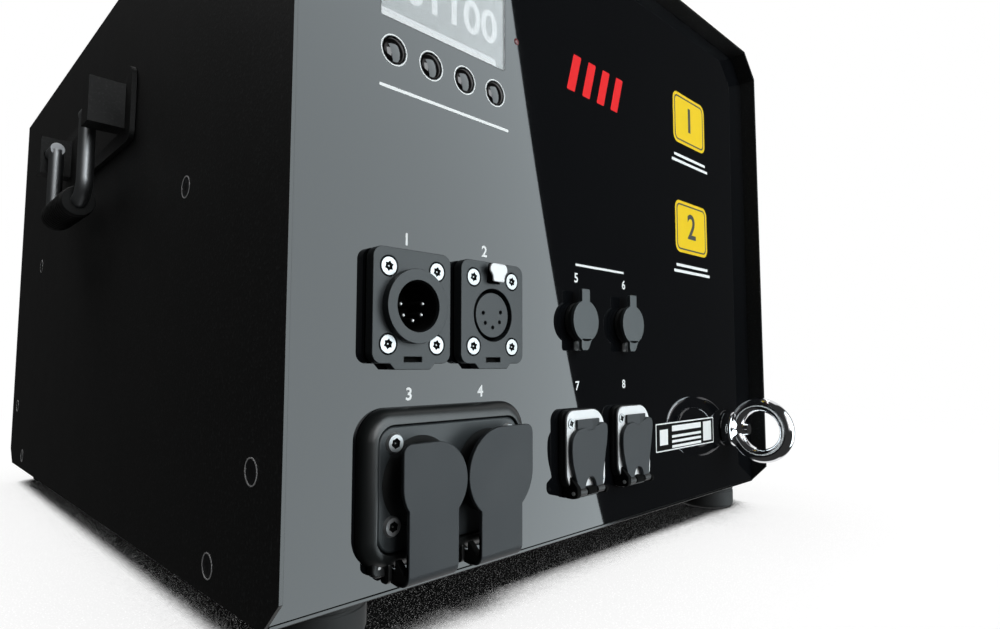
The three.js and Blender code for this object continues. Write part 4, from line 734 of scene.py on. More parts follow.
# Casing
front_faced(softened("casing_cover", POWDER, "powder_coat", 0.3, 3), EDGE)
front_faced(softened("base_tray", POWDER, "powder_coat", 0.3), EDGE)
softened("rear_panel", POWDER, "powder_coat", 0.3)
rear_face = span("rear_panel")[1][1]
heads = [(x, rear_face + 0.3, z) for x in (-139, 0, 139) for z in (28, 244)]
grown("rear_screws", SCREWS, heads, HEAD, "nickel", TO_BACK, Height=0.9, Edge=0.86, **CASE_HEAD)
softened("mid_bulkhead", ZINC, "zinc_steel", 0.25)
softened("handle_bracket_left", POWDER, "powder_coat", 0.4)
softened("handle_bracket_right", POWDER, "powder_coat", 0.4)
SIDE_HEADS = [(18.4, 40.5), (47.4, 8.7), (79.0, 133.1), (372.6, 8.7), (401.6, 40.5), (341.0, 133.1)]
for side, name, facing in ((1, "right", TO_RIGHT), (-1, "left", TO_LEFT)):
    heads = [(side * (SIDE - 0.42), y, LIFT + z) for y, z in SIDE_HEADS]
    grown("side_screws_" + name, SCREWS, heads, HEAD, "nickel", facing, Height=0.42, Edge=0.9, **CASE_HEAD)
    # Painted highlight: a thin bright ring round each dark head stands for the glint on its chamfer.
    glint_rings = [(side * (SIDE - 0.02), y, z) for x, y, z in heads]
    grown("side_screw_glints_" + name, RINGS, glint_rings, BARE_AND_GLINT, "nickel", facing, Radius=3.85, Width=0.42, Height=0.3)
for corner in ("front_left", "front_right", "rear_left", "rear_right"):
    node = "foot_" + corner
    top = span(node)[1][2]
    section = [
        (0, 5), (5, 5), (5, 0.5), (5.4, 0), (12.9, 0), (13.8, 0.3), (14.6, 1.0), (15, 2.2), (15, top - 3),
        (14.7, top - 2.6), (14.7, top - 2), (15, top - 1.6), (15, top - 0.5), (14.6, top), (0, top)]
    bolt = [(0, 4.2), (3.4, 4.2), (4.2, 3.6), (4.4, 2.6), (4.4, 5.2), (0, 5.2)]
    foot = Piece(upright(*halfway(node))).put(turned(section), RUBBER).put(turned(bolt, 32), ZINC)
    foot.fine(node, "casing", "rubber")


# Display, keys and prints on the panel
DISPLAY_X, DISPLAY_Z = -90, 210.6
WINDOW_WIDTH, WINDOW_HEIGHT = 57, 32
pane = Piece(on_panel(DISPLAY_X, DISPLAY_Z))
pane.put(slab([rectangle(WINDOW_WIDTH - 0.3, WINDOW_HEIGHT - 0.3, 0.5)], -1.2, -0.02, 0.1), PANE)
pane.done("display_pane", "casing", "window", "display_window")
screen = Piece(on_panel(DISPLAY_X, DISPLAY_Z))
screen.put(slab([rectangle(WINDOW_WIDTH - 0.8, WINDOW_HEIGHT - 0.8, 0.4)], -1.95, -1.55, 0.05), SCREEN)
screen.put(slab([rectangle(52.4, 3.3, 0.2)], -1.55, -1.45, 0.02), DIGITS, on_panel(-91.9, 196.4))
for words, x in (("001", -104.5), ("100", -78)):
    screen.put(numeral(words, 17.5, 0.1, 0.35), DIGITS, on_panel(x, 209.3, -1.48))
screen.put(slab([rectangle(20, 2.6, 0.2)], -1.55, -1.45, 0.02), DIGITS, on_panel(-77.5, 222.4))
screen.done("display_screen", "casing", "window")

KEY_Z = 184.35
key_places = [DISPLAY_X + x for x in (-23.1, -7.7, 7.7, 23.1)]
dome = [
    (0, 1.0), (1.1, 0.95), (2.2, 0.8), (3.2, 0.52), (3.9, 0.2), (4.25, -0.1), (4.38, -0.5), (4.4, -3.3),
    (5.7, -3.3), (5.7, -4.5), (2, -4.5), (2, -7.7), (0, -7.7)]
for i, x in enumerate(key_places):
    node = f"menu_key_{i + 1}"
    Piece(on_panel(x, KEY_Z)).put(turned(dome, 48), KEY).fine(node, node, "dark_plastic")
rings = [(x, PANEL - 0.03, KEY_Z) for x in key_places]
grown("key_rings", RINGS, rings, WHITE, "dark_plastic", TO_FRONT, Radius=5.0, Width=0.4, Height=0.05)
bulge = [(0, 0.5), (0.6, 0.45), (1.1, 0.25), (1.35, 0), (1.35, -0.5), (0, -0.5)]
Piece(on_panel(-55.1, 208.9)).put(turned(bulge, 24), LAMP).done("status_lens", "casing", "window")

FILM = (0.0, 0.06, 0.01)
PLATE = on_panel(72.2, 46.3)
prints = Piece(on_panel(0, 0))
for words, x, z, size in (
    ("1", -107.3, 122.6, 5.6), ("2", -72.4, 123.0, 5.6), ("3", -105.7, 72.7, 5.6), ("4", -74.3, 72.7, 5.6),
    ("5", -18.6, 118.6, 5.6), ("6", 16.8, 118.6, 5.6), ("7", -18.5, 73.1, 5.2), ("8", 15.8, 73.1, 5.2),
):
    prints.put(numeral(words, size, 0.05, 0.12), WHITE, on_panel(x, z, 0.03))
prints.put(slab([rectangle(58.9, 1.1, 0.3)], *FILM), WHITE, on_panel(-89.2, 171.5))
prints.put(slab([rectangle(36, 1.0, 0.3)], *FILM), WHITE, on_panel(-0.9, 124.4))
for x in (-19.0, -8.3, 2.4, 13.1):
    bar = [(x - 4.9, 200.0, 0.6), (x + 0.5, 200.0, 0.6), (x + 5.6, 217.0, 0.6), (x + 0.2, 217.0, 0.6)]
    prints.put(slab([bent(bar, 4)], *FILM), RED)
FIELD_X = 82.9
for z in (214.3, 155.0):
    prints.put(slab([rectangle(34.5, 27.8, 4.5, FIELD_X, z)], *FILM), YELLOW)
    border = [rectangle(31.4, 24.7, 3.2, FIELD_X, z), rectangle(29.8, 23.1, 2.6, FIELD_X, z)]
    prints.put(slab(border, 0.05, 0.08, 0.005), BLACK)
    for drop, width in ((20.9, 34), (24.1, 39)):
        prints.put(slab([rectangle(width, 1.5, 0.4, 83, z - drop)], *FILM), WHITE)
for words, z in (("1", 214.5), ("2", 155.2)):
    prints.put(numeral(words, 19, 0.05, 0.3), BLACK, on_panel(FIELD_X, z, 0.09))
prints.put(slab([rectangle(59.5, 13.8, 0.5)], 0.0, 0.12, 0.03), WHITE, PLATE)
prints.put(slab([rectangle(58.3, 12.6, 0.4)], 0.1, 0.16, 0.02), SHADE_AND_LABEL_BLACK, PLATE)
for x, z, width, height in (
    (72.6, 50.0, 30, 2.8), (72.6, 46.1, 30, 1.3), (72.6, 43.6, 30, 1.3), (72.6, 41.1, 30, 1.3),
    (94.6, 46.3, 9, 10.2), (49.8, 46.3, 7.6, 7.6),
):
    prints.put(slab([rectangle(width, height, 0.2)], 0.15, 0.19, 0.01), WHITE, on_panel(x, z))
prints.done("panel_prints", "casing", "gloss_panel")


# Round data connectors
DATA = 100.6
IN_X, OUT_X = -107.55, -72.15
FACE_Z = DATA - 0.8  # the outlet's insert sits a little lower
HOLE_PLACES = [(a, b) for a in (-9.5, 9.5) for b in (-12, 12)]
CONTACT_ANGLES = [math.radians(degrees) for degrees in (16, 172, 221, 274, 327)]
CONTACTS = [(4.4 * math.cos(angle), 4.4 * math.sin(angle)) for angle in CONTACT_ANGLES]


def data_shell(x, opening, *more):
    """A flange over its gasket, both with the same opening."""
    flange = bent([
        (-15.3, -18, 3.4), (-8.8, -18, 0.5), (-6.9, -19.9, 0.5), (6.9, -19.9, 0.5), (8.8, -18, 0.5),
        (15.3, -18, 3.4), (15.3, 18, 3.4), (-15.3, 18, 3.4)])
    holes = [opening, rectangle(7, 1.6, 0.15, 0, -16.7)] + [arc(3.32, x=a, y=b, steps=32) for a, b in HOLE_PLACES]
    shell = Piece(on_panel(x, DATA)).put(slab([flange] + holes + list(more), 0.9, 4.5, 0.25, 4), FLANGE)
    return shell.put(slab([rectangle(30, 35.4, 3.2), opening, *more], 0.3, 1.0, 0.15), BLACK)


# Painted shade: a black floor in the keyway slot stands for the shade inside it.
def slot_shade_floor():
    return slab([rectangle(7.6, 2.2, 0.2, 0, -16.7)], 1.0, 2.4, 0.05)


rim = [
    (8.2, -16.8), (8.2, 7.2), (8.27, 7.34), (8.42, 7.4), (11.5, 7.4), (11.7, 7.33), (11.8, 7.12), (11.8, 1.2),
    (11.4, 0.4), (11.4, -16.8), (8.2, -16.8)]
# Painted shade: a black liner inside the bore stands for its shade.
shade_liner = [(7.9, -9.2), (8.15, -9.2), (8.15, 6.2), (8.05, 6.3), (7.9, 6.2), (7.9, -9.2)]
inlet = data_shell(IN_X, arc(10.0)).put(turned(rim, 96), FLANGE)
inlet.put(turned(shade_liner, 64), SHADE_AND_LABEL_BLACK).put(slot_shade_floor(), SHADE_AND_LABEL_BLACK)
inlet.done("dmx_in_shell", "casing", "dark_plastic", "dmx_in_flange")
# Painted shade: the contacts' shafts and the bore's floor are black, for the shade deep in the bore; only the tips
# are bright.
shaded_stem = [(0, 3.6), (0.85, 3.3), (0.88, 3.0), (0.88, -9.2), (0, -9.2)]
tip = [(0, 4), (0.3, 3.95), (0.46, 3.7), (0.46, 3.4), (0, 3.4)]
floor = Piece(on_panel(IN_X, DATA)).put(slab([arc(7.8)], -13, -9, 0.2), SHADE_AND_LABEL_BLACK)
for a, b in CONTACTS:
    floor.put(turned(shaded_stem, 16), SHADE_AND_LABEL_BLACK, on_panel(IN_X + a, DATA + b))
    floor.put(turned(tip, 16), BARE_AND_GLINT, on_panel(IN_X + a, DATA + b))
floor.done("dmx_in_contacts", "casing", "rubber", "dmx_in_insert")

latch_hole = bent([
    (-3.3, 10.5, 0.6), (3.1, 10.5, 0.6), (4.6, 14.6, 0.8), (4.6, 17.7, 0.8), (-2.4, 17.7, 0.8), (-2.6, 14.2, 0.8)], 4)
# Painted shade: the outlet's bore wall is black, for the shade inside it.
throat_shade = [(9.4, -16.8), (9.4, 4.0), (9.55, 3.4), (10.9, 0.4), (10.9, -16.8), (9.4, -16.8)]
outlet = data_shell(OUT_X, arc(9.4, y=-0.8), latch_hole)
outlet.put(turned(throat_shade, 96), SHADE_AND_LABEL_BLACK, on_panel(OUT_X, FACE_Z)).put(slot_shade_floor(), SHADE_AND_LABEL_BLACK)
outlet.done("dmx_out_shell", "casing", "dark_plastic", "dmx_out_flange")
sockets = [arc(0.68, x=a, y=b, steps=24) for a, b in CONTACTS]
insert = Piece(on_panel(OUT_X, FACE_Z)).put(slab([arc(8.0)] + sockets, 1.0, 3.9, 0.18, 3), FLANGE)
insert.put(slab([arc(8.0)], -9, 1.1, 0.1), BLACK).put(slab([arc(9.1)], -13, -9, 0.1), BLACK)
insert.done("dmx_out_face", "casing", "dark_plastic", "dmx_out_insert")
latch = bent([
    (-2.8, 10.8, 0.8), (2.8, 10.8, 0.8), (2.9, 12.9, 2.5), (4.3, 14.6, 1.2),
    (4.3, 17.4, 2.0), (-4.3, 17.4, 2.0), (-4.3, 14.6, 1.2), (-2.9, 12.9, 2.5)], 6)
latch_back = PANEL - span("dmx_out_latch")[1][1]
press = Piece(on_panel(OUT_X, DATA))
# Painted shade: the latch's stem is black, for the shade under the latch.
press.put(slab([rectangle(3.4, 4.8, 0.6, 0.6, 14)], latch_back, 6.8, 0.4, 3), SHADE_AND_LABEL_BLACK)
press.put(slab([latch], 6.6, 7.5, 0.42, 5), BARE_AND_GLINT)
press.done("release_latch", "dmx_out_latch", "nickel", "dmx_out_latch")
heads = [(x + a, PANEL - 3.8, DATA + b) for x in (IN_X, OUT_X) for a, b in HOLE_PLACES]
grown("data_screws", SCREWS, heads, SCREW, "nickel", TO_FRONT,
      Radius=3.0, Height=0.7, Edge=0.94, Recess=1.72, Inner=1.2, Pin=0.4)
# Painted shade: black discs in the screw holes stand for the shade round each head.
shade_rings = Piece()
for x, y, z in heads:
    shade_rings.put(slab([arc(3.31, steps=32)], 1.0, 3.2, 0.02), SHADE_AND_LABEL_BLACK, on_panel(x, z))
shade_rings.done("data_screw_shade", "casing", "dark_plastic")


# Mains connectors
MAINS_X, MAINS_Z = -90, 44.75
WELL_Z = 46.2
WELLS = (-104.6, -75.4)
HOUSING_WIDTH, HOUSING_HEIGHT, HOUSING_CORNER = 70, 48.5, 10
SOFT_EDGE, SOFT_RISE, SOFT_STEPS = 4.6, 4.7, 8
rings = []
for k in range(SOFT_STEPS + 1):
    angle = QUARTER * k / SOFT_STEPS
    inset = SOFT_EDGE * (1 - math.cos(angle))
    level = 0.3 + SOFT_RISE * math.sin(angle)
    rings.append((HOUSING_WIDTH - 2 * inset, HOUSING_HEIGHT - 2 * inset, HOUSING_CORNER - inset, level))
rings += [(61.4, 38.8, 6.2, 5.0), (61.0, 38.4, 6.0, 4.7), (60.8, 38.2, 6.0, 0.3)]
shell = lofted([
    [(p.x, p.y, level) for p in rectangle(width, height, corner, steps=12)]
    for width, height, corner, level in rings])
bmesh.ops.bridge_loops(shell, edges=[e for e in shell.edges if e.is_boundary])
housing = Piece(on_panel(MAINS_X, MAINS_Z)).put(outward(shell), FRAME)
STRAP_SPANS = [(-114.3, -94.9), (-85.1, -65.7)]
PIN_Y, PIN_Z = PANEL - 2.9, 18.6
ear = bent([
    (PANEL - 0.3, 23.1, 0.4), (PANEL - 4.7, 23.1, 0.8), (PANEL - 4.7, 16.8, 1.95), (PANEL - 0.3, 16.8, 1.2)], 8)
pin = [(0, 0), (0.8, 0), (1, 0.2), (1, 4.2), (0.8, 4.4), (0, 4.4)]
glint_dot = [(0, 0.2), (0.5, 0.15), (0.55, 0), (0.55, -0.3), (0, -0.3)]
for left, right in STRAP_SPANS:
    for start in (left - 1.7, right + 0.3):
        housing.put(slab([ear], 0, 1.4, 0.3), BLACK, along_x(start))
    for start in (left - 1.8, right - 2.6):
        housing.put(turned(pin, 24), BLACK, along_x(start, PIN_Y, PIN_Z))
    lump = [(left - 6.6, 19.2, 2.2), (left - 1.6, 19.2, 0.6), (left - 1.6, 25, 0.3), (left - 6.6, 25, 0.3)]
    housing.put(slab([bent(lump, 6)], 0.3, 3.5, 0.8, 4), BLACK, on_panel(0, 0))
    # Painted highlight: a tiny bright disc on the lug's face stands for the glint on its pin.
    housing.put(turned(glint_dot, 16), BARE_AND_GLINT, on_panel(left - 4.1, 22.2, 3.5))
housing.done("mains_gasket", "casing", "dark_plastic", "power_housing")

wells = [arc(11.6, x=x - MAINS_X, y=WELL_Z - MAINS_Z) for x in WELLS]
sockets = Piece(on_panel(MAINS_X, MAINS_Z))
sockets.put(slab([rectangle(60.2, 37.6, 5.7)] + wells, 0.3, 4.6, 0.8, 6), FLANGE)
wall = [
    (9.5, -12), (9.5, 9.3), (9.8, 9.7), (10.2, 9.8), (10.9, 9.75), (11.2, 9.5), (11.3, 9.1), (11.4, 7.6),
    (11.7, 6.5), (12.3, 5.6), (13.2, 5.0), (14.0, 4.7), (14.0, 3.4), (12.3, 3.2), (12.3, -24), (0, -24),
    (0, -12), (9.5, -12)]
# Each well's wall is drawn in the painted shade.
for x in WELLS:
    sockets.put(turned(wall, 96), WELL_SHADE, on_panel(x, WELL_Z))
    for place in arc(5.6, QUARTER, QUARTER + TURN, 3, x, WELL_Z):
        sockets.put(contact(1.6, -5, -12.2), NICKEL, on_panel(*place))
sockets.done("mains_sockets_fine", "casing", "dark_plastic", "power_sockets")
heads = [(x, PANEL - 4.5, z) for x, z in ((-114.4, 58.5), (-115, 33.9), (-65.2, 58.3), (-65.2, 33.9))]
grown("mains_screws", SCREWS, heads, SCREW, "nickel", TO_FRONT,
      Radius=3.3, Height=1.1, Edge=0.8, Recess=1.7, Inner=1.4, Pin=0.35)
# Painted shade: black rings round the heads stand for the shade in their seats.
shade_rings = [(x, y + 0.1, z) for x, y, z in heads]
grown("mains_screw_shade", RINGS, shade_rings, SHADE_AND_LABEL_BLACK, "dark_plastic", TO_FRONT, Radius=3.45, Width=0.4, Height=0.12)

# The caps' straps hang to LOOP and then bend back by CURL of a half turn round a roller, between two ribs
LOOP, CURL, CURL_CUTS, ROLLER, RIB = 20.9, 0.68, 22, 4.2, 2.3
CAP_BACK, CAP_FRONT = 10.95, 12.5
RIB_LINE = [
    (12.4, 27, 0.2), (12.4, 20.2, 2.5), (9.6, 17.1, 2.5), (6.7, 16.5, 2.5), (3.4, 16.9, 2.0), (1.5, 18.2, 1.2),
    (1.0, 20.3, 0.4), (5.4, 20.5, 0.3), (5.5, 24.1, 0.3), (6.4, 23.6, 0.4), (8.6, 21.7, 3), (10.4, 19.9, 0.25),
    (11.0, 21.3, 0.8), (11.0, 27, 0.2)]
lip = [(6.6, 10.3), (6.6, 9.1), (6.9, 8.9), (7.7, 8.9), (8, 9.1), (8, 10.3), (6.6, 10.3)]
side_line = bent([(PANEL - a, b, c) for a, b, c in RIB_LINE], 5)
for i, (name, x, radius) in enumerate((("power_in_cap", -103.9, 12.6), ("power_out_cap", -75.4, 15.2))):
    left, right = (end - x for end in STRAP_SPANS[i])
    start = math.atan2(-math.sqrt(radius ** 2 - right ** 2), right)
    end = math.atan2(-math.sqrt(radius ** 2 - left ** 2), left) + TURN
    if name == "power_in_cap":
        corner = bent([(0, radius, 0), (-radius, radius, 3), (-radius, 0, 0)], 6, False)
        face = arc(radius, start, QUARTER, 40) + corner + arc(radius, math.pi, end, 24)
    else:
        corner = bent([(radius, 0, 0), (radius, radius, 3), (0, radius, 0)], 6, False)
        face = arc(radius, start, 0, 24) + corner + arc(radius, QUARTER, end, 40)
    tail = LOOP - WELL_Z - math.pi * 3.4 * CURL  # the sheet's end, a little short of the whole bend
    face += [Vector((left, tail)), Vector((right, tail))]
    face = [p for k, p in enumerate(face) if (p - face[k - 1]).length > 1e-3]
    sheet = slab([face], CAP_BACK, CAP_FRONT, 0.35, 4)
    cap = Piece(on_panel(x, WELL_Z))
    cap.put(curled(sheet, LOOP - WELL_Z, ROLLER, CAP_FRONT - CAP_BACK, CAP_FRONT), CAP)
    cap.put(slab([arc(radius - 0.5)], 10.1, 11.4, 0.4, 3), CAP).put(turned(lip, 64), CAP)
    # Two side ribs close the loop: down from the strap, under, and back up to the hinge
    for low in (0.0, right - left - RIB):
        cap.put(slab([side_line], low, low + RIB, 0.25, 2), BLACK, along_x(x + left))
    cap.fine(name, name, "rubber")


# Trigger sockets and their caps
PYRO = 100.2
wall = [
    (5, -12), (5, 3.2), (5.2, 3.4), (7.6, 3.4), (7.9, 3.2), (8, 2.8), (8, 2.2), (7.7, 2.0), (7.7, 1.6), (8, 1.4),
    (8, 0.3), (6.5, 0.3), (6.5, -20), (0, -20), (0, -12), (5, -12)]
CAP_RADIUS, TAB = 8.6, 2.65  # the cap's own radius, and half its pull tab's width
half = math.asin(TAB / CAP_RADIUS)
face = arc(CAP_RADIUS, QUARTER + half, QUARTER + TURN - half, 60)
face += bent([(TAB, 8.2, 0), (TAB, 13.4, 0.5), (-TAB, 13.4, 0.5), (-TAB, 8.2, 0)], 4, False)
strap = [
    (-3.3, -7.2, 0.2), (-3.3, -11.0, 1.0), (-2.6, -12.2, 0.8), (0.7, -12.2, 0.8), (1.9, -10.9, 1.5), (3.9, -7.2, 0.3)]
for i, x in enumerate((-18.65, 16.75)):
    socket = Piece(on_panel(x, PYRO)).put(turned(wall, 64), RUBBER)
    socket.put(slab([rectangle(5.5, 7.2, 0.8, 0, -8.7)], 0.05, 0.35, 0.1), RUBBER)
    # Painted highlight: a near-white bar behind the strap stands for the light on the strap's inner side.
    socket.put(slab([rectangle(2.9, 4.0, 1.0, -0.6, -10.2)], 0.3, 0.5, 0.06), STRAP_GLINT)
    for side in (-2, 2):
        socket.put(contact(0.9, -8, -12.2), BRASS, on_panel(x + side, PYRO))
    socket.fine(f"pyro_socket_{i + 1}", "casing", "rubber")
    cap = Piece(on_panel(x, PYRO)).put(slab([face], 3.7, 5.3, 0.2, 3), TRIGGER)
    cap.put(slab([bent(strap, 5)], 3.9, 5.3, 0.2, 3), TRIGGER)
    # The link to the socket, hidden behind the strap, takes the painted-shade black.
    cap.put(slab([rectangle(1.6, 2.3, 0.5, 1.75, -10.8)], 1.6, 4.2, 0.2), SHADE_AND_LABEL_BLACK)
    cap.fine(f"pyro_cap_{i + 1}", f"pyro_cap_{i + 1}", "rubber")


# Arming sockets and their flip covers
ARM = 46.1
HINGE_Y, HINGE_Z = PANEL - 6.1, ARM - 14.8
COVER_LINE = [
    (8.3, -14.8), (8.5, -10.5), (9.1, -6.5), (10.1, -2), (11.2, 3), (12, 8), (11.4, 11), (8.6, 12), (4.5, 10.9),
    (0, 10.5), (-5, 10.4), (-9, 9.2), (-11.5, 6.2), (-12.1, 2), (-11.7, -2.5), (-10.6, -6.5), (-9.2, -10.5),
    (-8.3, -14.8)]
ARCH = [(-3.75 * math.cos(math.pi * k / 16), -14.8 + 5.4 * math.sin(math.pi * k / 16)) for k in range(17)]


def arm_plate(shrink):
    left, right, top, bottom = -13 + shrink, 13 - shrink, 17.8 - shrink, -15.5 + shrink
    return bent([(left, top, 4.2), (left, bottom, 8.4), (right, bottom, 4.2), (right, top, 8.4)], 10)


def side_slab(outline, low, high, edge):
    """A slab drawn in the side face, from corners that stand off the panel."""
    return slab([bent([(PANEL - a, ARM + b, c) for a, b, c in outline])], low, high, edge)


well = [(8, -9), (8, 3.7), (10.5, 3.7), (10.5, -22), (0, -22), (0, -9), (8, -9)]
tongue = [(-8.5, -17.8, 1.5), (8.5, -17.8, 1.5), (11.3, -15, 0.5), (-11.3, -15, 0.5)]
lug = [(3.6, -13.3, 0.3), (7.6, -13.3, 1.45), (7.6, -16.3, 1.45), (3.6, -16.3, 0.3)]
tall_ear = [(0.6, -8.5, 0.5), (4.2, -8.5, 0.5), (8.1, -12.6, 1.9), (8.1, -16.9, 2.0), (0.6, -16.9, 1.5)]
low_ear = [(0.6, -14.2, 0.5), (5.0, -14.2, 0.6), (7.8, -14.0, 1.0), (7.8, -16.9, 1.5), (0.6, -16.9, 1.5)]
fold = [
    (-7.3, PANEL - 4.65, 0.1), (-7.3, PANEL - 5.5, 0.3), (0.4, PANEL - 7.2, 0.8), (7.3, PANEL - 5.7, 0.3),
    (7.3, PANEL - 4.65, 0.1)]
for name, x in (("arm_in", -18.25), ("arm_out", 17.25)):
    socket = Piece(on_panel(x, ARM))
    for low, high in ((0.3, 1.9), (2.0, 3.8)):
        socket.put(slab([arm_plate(0), arc(10.4)], low, high, 0.25), BLACK)
    socket.put(slab([arm_plate(0.35), arc(8.0)], 3.6, 4.3, 0.15), BARE_AND_GLINT)
    socket.put(turned(well, 64), BLACK)
    for place in arc(4, TURN / 8, TURN / 8 + TURN, 4, x, ARM):
        socket.put(contact(1, -5, -9.2), BRASS, on_panel(*place))
    socket.put(slab([bent(tongue, 6)], 0.3, 3.7, 0.4), BLACK)
    # The lug, the ears and the hinge pin take the painted-shade black, duller and darker than their own black, for
    # the shade they stand in.
    socket.put(side_slab(lug, -2.9, 2.9, 0.3), SHADE_AND_LABEL_BLACK, along_x(x))
    socket.put(side_slab(tall_ear, -11.0, -8.6, 0.35), SHADE_AND_LABEL_BLACK, along_x(x))
    socket.put(side_slab(low_ear, 8.6, 10.4, 0.35), SHADE_AND_LABEL_BLACK, along_x(x))
    socket.put(turned([(0, 0), (0.7, 0), (0.7, 21.4), (0, 21.4)], 20), SHADE_AND_LABEL_BLACK, along_x(x - 11.0, HINGE_Y, HINGE_Z))
    socket.put(turned([(0, 0), (0.8, 0), (0.8, 0.3), (0, 0.3)], 20), SATIN, along_x(x - 11.2, HINGE_Y, HINGE_Z))
    socket.fine(name + "_socket", "casing", "nickel")
    heads = [(x - 9.9, PANEL - 4.22, ARM + 12.4), (x + 9.9, PANEL - 4.22, ARM - 12.2)]
    grown(name + "_screws", SCREWS, heads, SCREW, "nickel", TO_FRONT,
          Radius=2.15, Height=0.4, Edge=0.92, Recess=1.6, Inner=0.9, Lobes=4, Pin=0.25)
    # Painted shade: black rings round the heads stand for the shade in their seats.
    shade_rings = [(a, b + 0.02, c) for a, b, c in heads]
    grown(name + "_screw_shade", RINGS, shade_rings, SHADE_AND_LABEL_BLACK, "dark_plastic", TO_FRONT, Radius=2.4, Width=0.6, Height=0.12)
    cover = Piece(on_panel(x, ARM)).put(slab([flowing(COVER_LINE) + ARCH], 4.6, 6.6, 0.4, 4), CAP)
    cover.put(slab([bent(fold, 4)], ARM + 9.4, ARM + 13.8, 0.25), CAP, upright(x))
    eyes = [arc(1.5, x=HINGE_Y, y=HINGE_Z, steps=32), arc(0.95, x=HINGE_Y, y=HINGE_Z, steps=24)]
    for low, high in ((-8.3, -3.75), (3.75, 8.3)):
        cover.put(slab(eyes, low, high, 0.15), BLACK, along_x(x))
    cover.fine(name + "_cover", name + "_cover", "dark_plastic")


# Safety eye
EYE_X, EYE_Z = 119.4, 46
collar = [
    (0, 6), (8.8, 6), (9.5, 5.75), (9.9, 5.2), (10, 4.6), (10, 1.2), (9.7, 0.5), (9.2, 0.3), (4, 0.3), (4, -3.9),
    (6.06, -3.9), (6.06, -9.3), (0, -9.3)]
neck = [(0, 12.5), (3.0, 12.5), (3.1, 9.5), (4.2, 7.2), (6.4, 6.2), (8.0, 5.9), (0, 5.9)]
eye = Piece(on_panel(EYE_X, EYE_Z)).put(turned(collar, 72), CHROME)
eye.put(tube(arc(13.85, steps=96), 3.75, True, 10), CHROME, along_x(EYE_X, PANEL - 19.4, EYE_Z))
eye.put(turned(neck, 48), CHROME)
eye.fine("safety_eye", "casing", "chrome")


# Carrying handles
BAIL_X, BAIL_Y, BAIL_Z = 163.3, 210, 196
BAIL_REACH, BAIL_DROP, JOURNAL_Y = 33.8, 38.0, 31
GRIP_Z = 158
GRIP_HALF = 24.4
journal = [(0, 0), (3.2, 0), (3.4, 0.3), (3.4, 13.7), (3.2, 14), (0, 14)]
grip = [(radius, height * GRIP_HALF / 33) for radius, height in (
    (0, -33), (5.6, -33), (6.7, -32.6), (7, -31.6), (7, -27), (6.7, 0), (7, 27), (7, 31.6), (6.7, 32.6),
    (5.6, 33), (0, 33))]
path = bent([
    (-BAIL_REACH, 0, 0), (-BAIL_REACH, -BAIL_DROP, 9), (BAIL_REACH, -BAIL_DROP, 9), (BAIL_REACH, 0, 0)], 10, False)
for side, name in ((-1, "handle_left"), (1, "handle_right")):
    x = side * BAIL_X
    bail = Piece(along_x(x, BAIL_Y, BAIL_Z)).put(tube(path, 3.4, False, 8), ZINC)
    for end in (-1, 1):
        place = frame_of((1, 0, 0), (0, 0, -end), (0, end, 0), spot(x, BAIL_Y + end * JOURNAL_Y, BAIL_Z))
        bail.put(turned(journal, 32), ZINC, place)
    grip_place = frame_of((1, 0, 0), (0, 0, -1), (0, 1, 0), spot(x, BAIL_Y, GRIP_Z))
    bail.put(turned(grip, 48), RUBBER, grip_place)
    bail.fine(name, name, "rubber")
    ridges = [(x, BAIL_Y + 3.6 * k, GRIP_Z) for k in range(-5, 6)]
    grown(name.replace("handle", "handle_ridges"), BEADS, ridges, RUBBER, "rubber", TO_FRONT, name,
          Radius=6.7, Bead=0.55)


# Burner
softened("top_deck", STAINLESS, "stainless", 0.4)
softened("burner_cup", STAINLESS, "stainless", 0.3)
axis = halfway("burner_cup")[1]
cup_top = span("burner_cup")[1][2]
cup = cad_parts["burner_cup"]
places = [cup.matrix_world @ vert.co / MM for vert in cup.data.vertices]
mouth = max(abs(place.x) for place in places if place.z > cup_top - 0.5)
grown("burner_rim", BEADS, [(0, axis, cup_top - 1)], STAINLESS, "stainless", UP, Radius=mouth - 0.5, Bead=1)
low, high = span("top_deck")
heads = [(x, y, high[2] + 0.6) for x in (-90, 90) for y in (low[1] + 10, high[1] - 10)]
grown("deck_screws", SCREWS, heads, SCREW, "stainless", UP,
      Radius=4, Height=1.2, Edge=0.85, Recess=2.1, Inner=1.5, Pin=0.3)
# Painted shade: a black disc on the tip stands for the nozzle's hole.
orifice_shade = [(0, 0.06), (0.9, 0.06), (0.9, -0.4), (0, -0.4)]
jet = Piece(upright(0, axis, span("nozzle_tip")[1][2])).put(turned(orifice_shade, 24), SHADE_AND_LABEL_BLACK)
jet.done("nozzle_orifice", "casing", "brass")
for name in ("left", "right"):
    low, high = span("insulator_" + name)
    sheds = [(*halfway("insulator_" + name), low[2] + 8 + 5 * k) for k in range(7)]
    grown("insulator_sheds_" + name, BEADS, sheds, CERAMIC, "ceramic", UP,
          Radius=(high[0] - low[0]) / 2 - 0.5, Bead=0.9)


# Solids that are seen as they are
for finish, nodes in (
    (GLOSS, ("front_panel",)),
    (BRASS, ("nozzle_body", "nozzle_tip", "fuel_pump", "solenoid_valve")),
    (STAINLESS, ("electrode_left", "electrode_right")),
    (TANK, ("fuel_tank",)),
    (BLACK, ("filler_cap", "ignition_transformer")),
    (ZINC, ("pump_motor", "accumulator")),
    (ALUMINIUM, ("pump_coupling", "feed_line", "nozzle_line", "power_supply")),
    (LEAD_RUBBER, ("ignition_lead_left", "ignition_lead_right")),
    (BOARD, ("control_board", "display_board")),
    (CERAMIC, ("insulator_left", "insulator_right")),
):
    for node in nodes:
        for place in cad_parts[node].material_slots:
            place.material = finish


